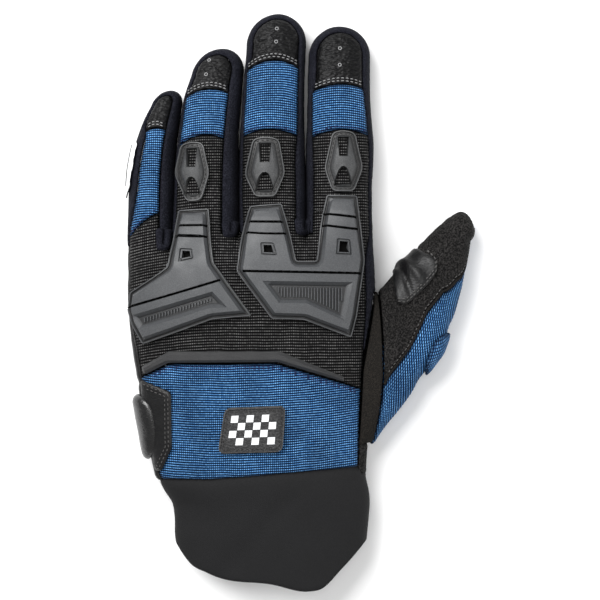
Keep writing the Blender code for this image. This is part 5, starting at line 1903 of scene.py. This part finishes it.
@dataclass
class Wrist(Assembly):
    """The blue panel over the wrist with its badge, tab and heel pad."""

    hand: HandShell
    badge_corner: float = 0.0030
    columns: int = 6
    rows: int = 4
    cloth_lie: Lie = Lie(0.0009, 0.0022, 0.00016)
    tab_lie: Lie = Lie(0.0006, 0.0009, 0, 0.00012, 0.007)
    fold_depth: float = 0.00022
    fold_length: float = 0.0135
    tab_rows: Point = (0.0011, 0.0024)
    seam_rows: Point = (-0.0012, -0.0022)
    badge_row: float = 0.0017

    def panel(self) -> None:
        """Blue ribbed cloth from the back's seam to the cuff's."""
        hand = self.hand
        left, right = (hand.side_share(side, Face.BACK, 1) - SEAM_SHARE for side in Side)
        outline = hand.cuff_line(-left, right, SEAM / 2)
        outline += hand.side_run(Side.RIGHT, Face.BACK, 0.93, 0.66)
        outline += hand.wrist_line(-SEAM / 2)[::-1]
        outline += hand.side_run(Side.LEFT, Face.BACK, 0.62, 0.98)
        panel = Panel("blue_wrist", self.form.back, outline, (0.0012, 0.00024))
        panel.weave = self.weave
        panel.knit = BLUE_KNIT
        panel.relief = self.relief
        self.lay(panel, "ribbed_blue", "wrist_panel", "blue_knit")

    def weave(self, u: Array, v: Array) -> Array:
        """The panel's cloth map: its rows rise a little towards both sides."""
        away = u - HAND_MIDDLE
        return np.stack([u, v - away**2 * 1.1 - away * 0.03], -1)

    def relief(self, u: Array, v: Array, rim: Array) -> Array:
        """Soft edges with puckers under the seam and long shallow folds across the wrist."""
        fold = np.sin((v - 0.12 * u) / self.fold_length * 2 * math.pi) * ease(rim / 0.010)
        return self.cloth_lie(u, v, rim) + self.fold_depth * fold

    def chequer(self) -> list[list[Point]]:
        """The raised squares of the badge, every other one of its columns and rows."""
        left_top, right_top, right_foot, left_foot = map(np.array, hand_outline(self.form, BADGE))
        squares = []
        for column in range(self.columns):
            for row in range(column % 2, self.rows, 2):
                square = []
                for a, b in ((0, 0), (1, 0), (1, 1), (0, 1)):
                    s = 0.13 + 0.74 * (column + a) / self.columns
                    t = 0.17 + 0.66 * (row + b) / self.rows
                    top = left_top + (right_top - left_top) * s
                    foot = left_foot + (right_foot - left_foot) * s
                    square.append(point(*(top + (foot - top) * t)))
                squares.append(inset(square, 0.00008))
        return squares

    def badge(self) -> None:
        """Grained rubber badge with a raised rim and a generic chequer."""
        outline = rounded(hand_outline(self.form, BADGE), self.badge_corner)
        panel = Panel("badge", self.form.back, outline, (0.0010, 0.0010), thickness=0.0007, lift=LAY)
        panel.holes = self.chequer()
        panel.features = [Feature(outline, (0, 0.0002, 0.0007, 0.0010), (0, 0.0009, 0.0009, 0.0004))]
        panel.features += [Feature(square, (0, 0.00012), (0, 0.00022)) for square in panel.holes]
        panel.crisp = 35
        self.lay(panel, "badge_rubber", "wrist_badge", "badge_rubber", "pale_rubber")
        path = inset(outline, self.badge_row)
        row = Row(self.form.back, path + path[:1], LAY + 0.00125)
        self.sew("badge_stitches", [row], "black_thread", "badge_rubber")

    def tab(self) -> None:
        """Leather tab over the panel's outer end, held by two rows of stitches."""
        back, corners = self.form.back, hand_outline(self.form, WRIST_TAB)
        panel = Panel("tab_leather", back, rounded(corners, 0.0016), (0.0010, 0.0010))
        panel.thickness = 0.0010
        panel.lift = LAY
        panel.relief = self.tab_lie
        self.lay(panel, "leather", "wrist_tab", "smooth_leather")
        rows = [Row(back, inset(corners, depth)[:5], LAY + 0.0010) for depth in self.tab_rows]
        self.sew("tab_stitches", rows, "dull_thread", "leather")

    def pad(self) -> None:
        """Padded leather pillow on the heel of the hand."""
        places = zip(HEEL_PAD["along"], HEEL_PAD["share"], HEEL_PAD["side"])
        outline = rounded([wall_point(Side.LEFT, *place) for place in places], 0.0050, 7)
        panel = Panel("heel_pillow", self.form.hand_wall(Side.LEFT), outline, (0.0008, 0.0008))
        panel.thickness = 0.0004
        panel.lift = HIGH_LAY
        panel.features = [Feature(outline, (0, 0.0006, 0.0014, 0.0028), (0, 0.0010, 0.0016, 0.0020))]
        panel.relief = lambda u, v, rim: 0.00025 * ripple(u, v, 0.011) * ease(rim / 0.003)
        piece = self.lay(panel, "leather", "heel_pad", "glossy_leather")

    def stitches(self) -> None:
        """Dark blue row under the panel's upper seam."""
        rows = [Row(self.form.back, self.hand.wrist_line(shift)[2:-1]) for shift in self.seam_rows]
        self.sew("wrist_stitches", rows, "blue_thread", "ribbed_blue")

    def build(self) -> None:
        """Builds every piece of the wrist."""
        self.panel()
        self.badge()
        self.tab()
        self.pad()
        self.stitches()


@dataclass
class Cuff(Assembly):
    """The neoprene sleeve round the wrist, open at its end."""

    sides: int = 256
    rings: int = 56
    sink: float = 0.0015
    start: float = -0.05
    uneven: float = 0.00035
    fold_depth: float = 0.0004
    edge_round: float = 0.0005

    def skin(self, angles: Array, downs: Array, depth: float) -> Array:
        """The sleeve's points at a depth under its face, in soft folds."""
        place = self.form.cuff(angles, downs)
        normal = outward(self.form.cuff, angles, downs, (0.1, 0.001))
        x, y = place[:, 0], place[:, 1]
        height = -self.sink * np.exp(-np.maximum(downs, 0) / 0.05)
        height = height - self.edge_round * ease((downs - 0.97) / 0.03) ** 2
        fold = hump(x + 0.020 - 0.9 * (y + 0.100), 0.006) + 0.7 * hump(x - 0.004 + 0.7 * (y + 0.095), 0.007)
        soft = self.uneven * ripple(x, y, 0.030) - self.fold_depth * fold
        height = height + soft * ease(downs / 0.3)
        return place + (height - depth)[:, None] * normal + CENTRING

    def build(self) -> None:
        """Builds the sleeve as one closed wall."""
        ring = self.rings + 1
        angles = np.repeat(np.arange(self.sides) * 360 / self.sides, ring)
        downs = np.tile(np.linspace(self.start, 1, ring), self.sides)
        points = np.concatenate([self.skin(angles, downs, depth) for depth in (0.0, CUFF_WALL)])
        count = len(downs)
        faces = []
        for side in range(self.sides):
            for k in range(ring):
                here, beside = side * ring + k, (side + 1) % self.sides * ring + k
                if k < self.rings:
                    faces.append([here, here + 1, beside + 1, beside])
                    faces.append([here + count, beside + count, beside + 1 + count, here + 1 + count])
                if k in (0, self.rings):
                    face = [here, beside, beside + count, here + count]
                    faces.append(face if k == 0 else face[::-1])
        inward = (1 - downs) * CUFF_LENGTH
        finish = [self.wardrobe["neoprene"]]
        piece = new_piece("neoprene_cuff", points, faces, finish, rim=np.tile(inward, 2))
        piece.data.set_sharp_from_angle(angle=math.radians(60))
        dress(piece, "cuff")


@dataclass
class Thumb(Assembly):
    """The thumb: suede front, blue back with its gathered fold, leather patch and web."""

    metric: Point = (0.0095, 0.00026)
    cell: Point = (0.13, 4.5)
    front_lie: Lie = Lie(0.0006, 0.0013, 0, 0.00018, 0.010)
    back_lie: Lie = Lie(0.0007, 0.0016, 0.00018)
    patch_lie: Lie = Lie(0.0006, 0.0010, 0, 0.00020, 0.008)
    fold_lie: Lie = Lie(0.0009, 0.0022, 0, 0.00015, 0.006)
    drawn_in: float = 0.0007
    wrinkle: float = 0.0012
    swell: float = 0.0010
    patch_rows: Point = (0.0012, 0.0025)
    seam_row: float = 0.0019

    def seam_line(self, gap: float) -> list[Point]:
        """The seam between the thumb's back and front, moved over by a gap."""
        sections = [*np.linspace(0.70, THUMB_LAST, 60), *np.linspace(THUMB_LAST, THUMB_END, 8)]
        turned = self.form.thumb_turned
        return [(float(s), turned(s, float(self.form.thumb_seam(s)), gap)) for s in sections]

    def under_line(self, angle: float, gap: float) -> list[Point]:
        """The seam under the thumb, at an angle and moved over by a gap."""
        sections = [*np.linspace(0.07, THUMB_LAST, 40), *np.linspace(THUMB_LAST, THUMB_END, 8)[1:]]
        return [(float(s), self.form.thumb_turned(float(s), angle, gap)) for s in sections]

    def crook(self, start: float, end: float, count: int) -> list[Point]:
        """Places beside the web, between two shares of the way down the root."""
        downs = np.linspace(start, end, count)
        return [point(self.form.gusset_section(d) + 0.08, self.form.root_angle(d)) for d in downs]

    def front(self) -> None:
        """Suede that turns round the inner side of the thumb."""
        outline = self.seam_line(0.7 * SEAM) + self.under_line(UNDER_SEAM, -SEAM / 2)[::-1]
        outline += [(0.07, 225.0), (0.08, 190.0), *self.crook(0.03, 0.40, 12)]
        panel = Panel("thumb_suede", self.form.thumb, outline, self.cell, self.metric)
        panel.relief = self.front_relief
        self.lay(panel, "suede", "thumb_front", "suede")

    def front_relief(self, u: Array, v: Array, rim: Array) -> Array:
        """Rolled edges and slanting creases below the patch."""
        section, angle = u / self.metric[0], v / self.metric[1]
        height = self.front_lie(u, v, rim)
        for place, lean, depth in THUMB_CREASES:
            away = (section - place - lean * (angle - 130)) * self.metric[0]
            wave = 0.9 * hump(away - 0.0030, 0.0018) - hump(away, 0.0013)
            height = height + depth * wave * ease((angle - 80) / 30) * ease((205 - angle) / 30)
        return height

    def back(self) -> None:
        """Blue ribbed cloth round the outer side of the thumb."""
        outline = self.under_line(UNDER_SEAM - 360, SEAM / 2) + self.seam_line(-0.7 * SEAM)[::-1]
        outline += [*self.crook(0.70, 0.97, 8), (0.08, 0.0), (0.07, -40.0)]
        panel = Panel("blue_thumb", self.form.thumb, outline, (0.026, 5.0), self.metric)
        panel.weave = lambda u, v: np.stack([v, u], -1)
        panel.knit = BLUE_KNIT
        panel.relief = self.back_relief
        self.lay(panel, "ribbed_blue", "thumb_back", "blue_knit")

    def back_relief(self, u: Array, v: Array, rim: Array) -> Array:
        """Rolled edges, and cloth drawn in beside the gathered fold."""
        section, angle = u / self.metric[0], v / self.metric[1]
        drawn = hump(section - 2.45, 0.25) + hump(section - 4.1, 0.25)
        return self.back_lie(u, v, rim) - self.drawn_in * drawn * ease((60 - np.abs(angle)) / 40)

    def patch(self) -> None:
        """Leather patch in the crook, wrinkled at its foot and held by a double row."""
        thumb = self.form.thumb
        corners = list(zip(THUMB_PATCH["section"], THUMB_PATCH["angle"]))
        outline = rounded(corners, 6.0, 4)
        panel = Panel("thumb_leather", thumb, outline, (0.10, 3.4), self.metric, 0.0009, LAY)
        panel.relief = self.patch_relief
        self.lay(panel, "leather", "thumb_patch", "smooth_leather")
        rows = []
        for shift in self.patch_rows:
            line = [(3.72 - shift * 40, 138.0)]
            for s, a in corners[:5]:
                line.append((s - shift * 40 if s > 3.9 else s, self.form.thumb_turned(s, a, shift)))
            rows.append(Row(thumb, line, LAY + 0.0010))
        self.sew("thumb_patch_stitches", rows, "dull_thread", "leather")

    def patch_relief(self, u: Array, v: Array, rim: Array) -> Array:
        """A deep wrinkle towards the web and a softer swell beside it."""
        section, angle = u / self.metric[0], v / self.metric[1]
        near = ease((angle - 98) / 26)
        wrinkle = hump((section - 2.15 + 0.010 * (angle - 130)) * self.metric[0], 0.0011)
        swell = hump((section - 2.75 + 0.016 * (angle - 130)) * self.metric[0], 0.0020)
        return self.patch_lie(u, v, rim) - self.wrinkle * wrinkle * near + self.swell * swell * near

    def fold(self) -> None:
        """The gathered bump of blue cloth over the knuckle, its ribs turned to the diagonal."""
        outline = rounded(list(zip(THUMB_FOLD["section"], THUMB_FOLD["angle"])), 5.0, 4)
        panel = Panel("thumb_gather", self.form.thumb, outline, (0.07, 2.5), self.metric, 0.0012, LAY)
        panel.weave = lambda u, v: np.stack([(v + u) * 0.7071, (u - v) * 0.7071], -1)
        panel.relief = lambda u, v, rim: self.fold_lie(u, v, rim) + self.swell * ease(rim / 0.006)
        self.lay(panel, "ribbed_blue", "thumb_fold", "blue_knit")

    def web(self) -> None:
        """Suede web between hand and thumb."""
        downs = [-float(down) for down in np.linspace(-0.01, 0.98, 50)]
        outline = [(0.05, down) for down in downs[::-1]] + [(0.960, down) for down in downs]
        panel = Panel("thumb_web", self.form.gusset, outline, (0.10, 0.020), (0.012, 0.065))
        panel.relief = Lie(0.0004, 0.0010, 0.0001)
        self.lay(panel, "suede", "thumb_gusset", "piping")

    def stitches(self) -> None:
        """The rough piping in the long seam, and the row beside it."""
        rows = [Row(self.form.thumb, self.seam_line(self.seam_row)[2:-2])]
        self.sew("thumb_seam_stitches", rows, "dull_thread", "suede")
        cord = Stitching(length=0.0016, gap=-0.0006, thick=0.0011)
        rows = [Row(self.form.thumb, self.seam_line(0.0004)[:-2], 0.0)]
        dress(cord.sew("thumb_piping", rows, self.wardrobe["piping"]))

    def build(self) -> None:
        """Builds every piece of the thumb."""
        self.front()
        self.back()
        self.web()
        self.patch()
        self.fold()
        self.stitches()


@dataclass(frozen=True)
class KnuckleGuard:
    """One of the two large guards, drawn on the hand's plan in metres.

    Each facet is the line on a prong from which its tip slopes down.
    """

    name: str
    node: str
    table: Table
    grooves: tuple[tuple[Point, Point], ...]
    windows: tuple[tuple[Point, ...], ...]
    recess: tuple[Point, ...]
    facets: tuple[tuple[Point, Point], ...]

    def relief(self, u: Array, v: Array, rim: Array) -> Array:
        """Slopes the tips of the prongs."""
        height = np.zeros(len(u))
        for (x0, y0), (x1, y1) in self.facets:
            over = v - (y0 + (y1 - y0) * (u - x0) / (x1 - x0))
            height -= np.where((u > x0) & (u < x1), 0.34 * np.clip(over, 0, 0.0040), 0)
        return height * ease((rim - 0.0009) / 0.0016)


INNER = KnuckleGuard(
    "inner_guard",
    "inner_knuckle_guard",
    INNER_GUARD,
    grooves=(
        ((-0.0194, 0.0315), (-0.0070, 0.0315)),
        ((-0.0208, 0.0269), (-0.0056, 0.0269)),
        ((0.0107, 0.0352), (0.0230, 0.0340)),
        ((0.0100, 0.0303), (0.0236, 0.0295)),
        ((-0.0229, 0.0117), (0.0248, 0.0109)),
    ),
    windows=(
        ((-0.0154, 0.0228), (-0.0105, 0.0228), (-0.0090, 0.0174), (-0.0153, 0.0176)),
        ((0.0152, 0.0251), (0.0200, 0.0250), (0.0203, 0.0180), (0.0142, 0.0180)),
    ),
    recess=(
        (-0.0149, 0.0079), (0.0206, 0.0074), (0.0176, -0.0080), (0.0025, -0.0010), (-0.0082, -0.0010)
    ),
    facets=(((-0.0220, 0.0333), (-0.0040, 0.0333)), ((0.0080, 0.0372), (0.0260, 0.0360))),
)
OUTER = KnuckleGuard(
    "outer_guard",
    "outer_knuckle_guard",
    OUTER_GUARD,
    grooves=(
        ((-0.0486, 0.0300), (-0.0375, 0.0300)),
        ((-0.0496, 0.0259), (-0.0375, 0.0256)),
        ((-0.0700, -0.0031), (-0.0318, 0.0083)),
    ),
    windows=(((-0.0474, 0.0202), (-0.0430, 0.0201), (-0.0424, 0.0161), (-0.0484, 0.0147)),),
    recess=(
        (-0.0675, -0.0060), (-0.0350, 0.0037), (-0.0290, -0.0027), (-0.0357, -0.0028), (-0.0641, -0.0117)
    ),
    facets=(((-0.0510, 0.0318), (-0.0350, 0.0318)),),
)


@dataclass
class Armour(Assembly):
    """The moulded guards on the knuckles and fingers, and the bar across the hand."""

    fingers: tuple[FingerShell, ...]
    base: float = 0.0004
    body_depths: tuple[float, ...] = (0, 0.0002, 0.0006, 0.0008, 0.0011, 0.0013, 0.0027)
    body_heights: tuple[float, ...] = (0, 0.0010, 0.0010, 0.0003, 0.0003, 0.0006, 0.0026)
    window_depths: tuple[float, ...] = (-0.0001, 0.0001, 0.0004, 0.0006, 0.0010, 0.0012)
    window_heights: tuple[float, ...] = (0, -0.0008, -0.0008, 0.0001, 0.0001, -0.0022)
    shield_depths: tuple[float, ...] = (0, 0.0002, 0.0006, 0.0008, 0.0019, 0.0021, 0.0034)
    shield_heights: tuple[float, ...] = (0, 0.0012, 0.0012, 0.0005, 0.0005, 0.0009, 0.0018)
    shield_top: tuple[Point, ...] = ((-0.33, 0.11), (0.31, 0.11), (0.22, 0.43), (-0.24, 0.43))
    shield_foot: tuple[Point, ...] = (
        (-0.54, 0.90), (-0.42, 0.76), (-0.28, 0.65), (-0.12, 0.595),
        (0.04, 0.59), (0.18, 0.62), (0.32, 0.72), (0.46, 0.88),
    )
    groove_width: float = 0.0010
    groove_depth: float = 0.0018
    rib_pitch: float = 0.0012

    def ribs(self, recess: Sequence[Point], border: float) -> list[Feature]:
        """Upright ribs on the floor of a recess, inside its border."""
        floor = inset(recess, border)
        first, last = min(floor)[0] + 0.0006, max(floor)[0] - 0.0003
        made = []
        for x in np.arange(first, last, self.rib_pitch):
            crossings = []
            for a, b in sides_of(floor):
                if (a[0] > x) != (b[0] > x):
                    crossings.append(a[1] + (x - a[0]) * (b[1] - a[1]) / (b[0] - a[0]))
            if len(crossings) == 2 and max(crossings) - min(crossings) > 0.0012:
                line = strip((x, min(crossings)), (x, max(crossings)), self.rib_pitch * 0.55)
                made.append(Feature(line, (0, 0.00015), (0, 0.0008)))
        return made

    def knuckle_guard(self, guard: KnuckleGuard) -> None:
        """One of the two large guards: its lip, grooves, windows and ribbed recess."""
        outline = rounded(anticlockwise(hand_outline(self.form, guard.table)), 0.0009, 4)
        features = [Feature(outline, self.body_depths, self.body_heights)]
        # The floors of the grooves and windows are painted black as painted shade.
        holes = []
        for start, end in guard.grooves:
            line = strip(start, end, self.groove_width)
            features.append(Feature(line, (0, 0.0002), (0, -self.groove_depth)))
            holes.append(inset(line, 0.0001))
        for corners in guard.windows:
            window = rounded(anticlockwise(corners), 0.0006, 4)
            features.append(Feature(window, self.window_depths, self.window_heights))
            holes.append(inset(window, 0.0011))
        recess = anticlockwise(guard.recess)
        features.append(Feature(recess, (0, 0.0003, 0.0017, 0.0019), (0, -0.0004, -0.0019, -0.0019)))
        features += self.ribs(recess, 0.0023)
        features += [Feature(strip(start, end, 0.0002)) for start, end in guard.facets]
        panel = Panel(guard.name, self.form.back, outline, (0.0016, 0.0016), thickness=self.base)
        panel.lift = HIGH_LAY
        panel.features = features
        panel.holes = holes
        panel.relief = guard.relief
        panel.crisp = 24
        self.lay(panel, "moulded_rubber", guard.node, "guard_rubber", "hole_shade")

    def finger_guard(self, shell: FingerShell) -> None:
        """The shield on one finger: lip, stitched channel and a saddle with two windows."""
        finger = shell.finger
        table = FINGER_GUARDS[shell.name]
        places = zip(table["across"], table["along"])
        plan = [(finger.x[0] + a * finger.width, finger.at(s)) for a, s in places]
        outline = rounded(anticlockwise(plan), 0.0022, 5)
        low, high = np.min(outline, 0), np.max(outline, 0)
        half = (high[0] - low[0]) / 2
        tall = high[1] - low[1]
        lean = (plan[1][0] - (plan[4][0] + plan[5][0]) / 2) / tall

        def spot(s: float, t: float) -> Point:
            """Plan point at a share across the shield and a share of the way down it."""
            x = (low[0] + high[0]) / 2 + s * half + lean * (0.5 - t) * tall * 0.5
            return point(x, high[1] - t * tall)

        middle = spot(0, 0.5)

        def saddle(u: Array, v: Array, rim: Array) -> Array:
            """The swell in the shield's middle."""
            along, across = (v - middle[1]) / (tall * 0.17), (u - middle[0]) / (half * 0.55)
            return 0.0009 * np.exp(-(along**2) - across**2) * ease(rim / 0.0035)

        panel = Panel(f"{shell.name}_shield", self.form.back, outline, (0.0007, 0.0007))
        panel.thickness = self.base
        panel.lift = LAY
        panel.features = [Feature(outline, self.shield_depths, self.shield_heights)]
        for corners in (self.shield_top, self.shield_foot):
            window = anticlockwise([spot(*corner) for corner in corners])
            panel.features.append(Feature(window, (-0.0003, 0, 0.0004), (0, 0.0001, -0.0020)))
            panel.holes.append(inset(window, 0.0003))
        panel.relief = saddle
        panel.crisp = 32
        node = f"{shell.name}_finger_guard"
        self.lay(panel, "moulded_rubber", node, "shield_rubber", "black_knit")
        path = inset(outline, 0.00135)
        rows = [Row(self.form.back, path + path[:1], LAY + self.base + 0.00065)]
        self.sew(f"{shell.name}_shield_stitches", rows, "black_thread", "moulded_rubber")

    def bar(self) -> None:
        """The bevelled bar along the wrist panel's seam."""
        outline = rounded(anticlockwise(hand_outline(self.form, WRIST_BAR)), 0.0008, 4)
        panel = Panel("hand_bar", self.form.back, outline, (0.0012, 0.0012), thickness=self.base)
        panel.lift = LAY
        panel.features = [Feature(outline, (0, 0.0002, 0.0012, 0.0015), (0, 0.0009, 0.0018, 0.0018))]
        panel.crisp = 24
        self.lay(panel, "moulded_rubber", "wrist_bar", "bar_rubber")

    def flash(self) -> None:
        """The pale strip on the outside of the little finger, dark along its upper border."""
        finger = self.fingers[0].finger
        reach = finger.reach
        places = zip(SIDE_FLASH["along"], SIDE_FLASH["share"], SIDE_FLASH["side"])
        flat = [
            (finger.station(a, Side.LEFT) * reach, turn * float(roll_of_share(share)))
            for a, share, turn in places
        ]
        outline = [(s / reach, r) for s, r in rounded(flat, 0.0012, 4)]
        chart = self.form.finger_wall(finger)
        panel = Panel("pale_strip", chart, outline, (0.0009 / reach, 0.0009), (reach, 1.0), 0.0009, LAY)
        panel.relief = Lie(0.0004, 0.0006, 0, 0)
        border = float(roll_of_share(0.915))
        foot, low, high, top = (finger.station(share, Side.LEFT) for share in (0.20, 0.38, 0.64, 0.80))
        panel.features = [Feature(strip((low, border), (high, border), 0.0001))]
        panel.holes = [[(foot, 0.1), (top, 0.1), (top, border), (low, border), (low, -0.1), (foot, -0.1)]]
        self.lay(panel, "pale_rubber", "little_side_flash", "side_cloth", "pale_rubber")

    def build(self) -> None:
        """Builds every guard."""
        self.knuckle_guard(INNER)
        self.knuckle_guard(OUTER)
        for shell in self.fingers[1:]:
            self.finger_guard(shell)
        self.bar()
        self.flash()


@dataclass
class Studio:
    """A pale floor, soft light and a camera straight above the glove."""

    floor_size: float = 4.0
    camera_place: tuple[float, float, float] = (0.0001, -0.0003, 0.712)
    lens: float = 100.0
    sky: float = 0.46

    def floor(self) -> None:
        """A plain pale floor."""
        bpy.ops.object.select_all(action="DESELECT")
        bpy.ops.mesh.primitive_plane_add(size=self.floor_size)
        floor = bpy.context.object
        floor.name = "floor"
        material = bpy.data.materials.new("floor")
        material.use_nodes = True
        nodes = Nodes(material.node_tree)
        noise = nodes.add("TexNoise", {"Scale": 6.0}).outputs["Fac"]
        shader = material.node_tree.nodes["Principled BSDF"]
        nodes.put(shader.inputs["Base Color"], nodes.mix(noise, (0.86, 0.86, 0.86, 1), (0.88, 0.88, 0.88, 1)))
        nodes.put(shader.inputs["Roughness"], 0.9)
        floor.data.materials.append(material)
        floor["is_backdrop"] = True

    def lamp(self, name: str, place: tuple[float, ...], size: float, power: float) -> None:
        """A soft square light of this size in metres and power in watts, turned to the glove."""
        light = bpy.data.lights.new(name, "AREA")
        light.energy = power
        light.size = size
        lamp = bpy.data.objects.new(name, light)
        lamp.location = place
        lamp.rotation_euler = (-Vector(lamp.location)).to_track_quat("-Z", "Y").to_euler()
        bpy.context.scene.collection.objects.link(lamp)

    def build(self) -> None:
        """Builds the floor, the light and the camera."""
        self.floor()
        scene = bpy.context.scene
        scene.world = bpy.data.worlds.new("studio")
        scene.world.use_nodes = True
        background = scene.world.node_tree.nodes["Background"]
        background.inputs["Color"].default_value = (1, 1, 1, 1)
        background.inputs["Strength"].default_value = self.sky
        self.lamp("key_light", (-0.42, 0.50, 0.80), 0.60, 15.0)
        self.lamp("top_light", (0.05, 0.10, 1.30), 0.50, 3.0)
        self.lamp("side_light", (0.75, -0.10, 0.50), 0.5, 3.0)
        camera = bpy.data.cameras.new("camera")
        camera.lens = self.lens
        scene.camera = bpy.data.objects.new("camera", camera)
        scene.camera.location = self.camera_place
        scene.collection.objects.link(scene.camera)
        scene.view_settings.view_transform = "Standard"


def corners() -> list[list[float]]:
    """The shown model's box, as plain lists."""
    return [list(corner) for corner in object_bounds()]


def main() -> None:
    """Builds the glove on its CAD frame, piece by piece."""
    logging.basicConfig(level=logging.INFO, format="%(message)s")
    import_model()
    bpy.ops.object.select_all(action="DESELECT")
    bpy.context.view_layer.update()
    form = Form()
    kit = (form, Wardrobe(), Stitching())
    fingers = tuple(FingerShell(*kit, finger) for finger in form.fingers)
    for shell in fingers:
        shell.build()
    hand = HandShell(*kit, fingers)
    hand.build()
    Wrist(*kit, hand).build()
    Cuff(*kit).build()
    Thumb(*kit).build()
    Armour(*kit, fingers).build()
    Studio().build()


if __name__ == "__main__":
    main()
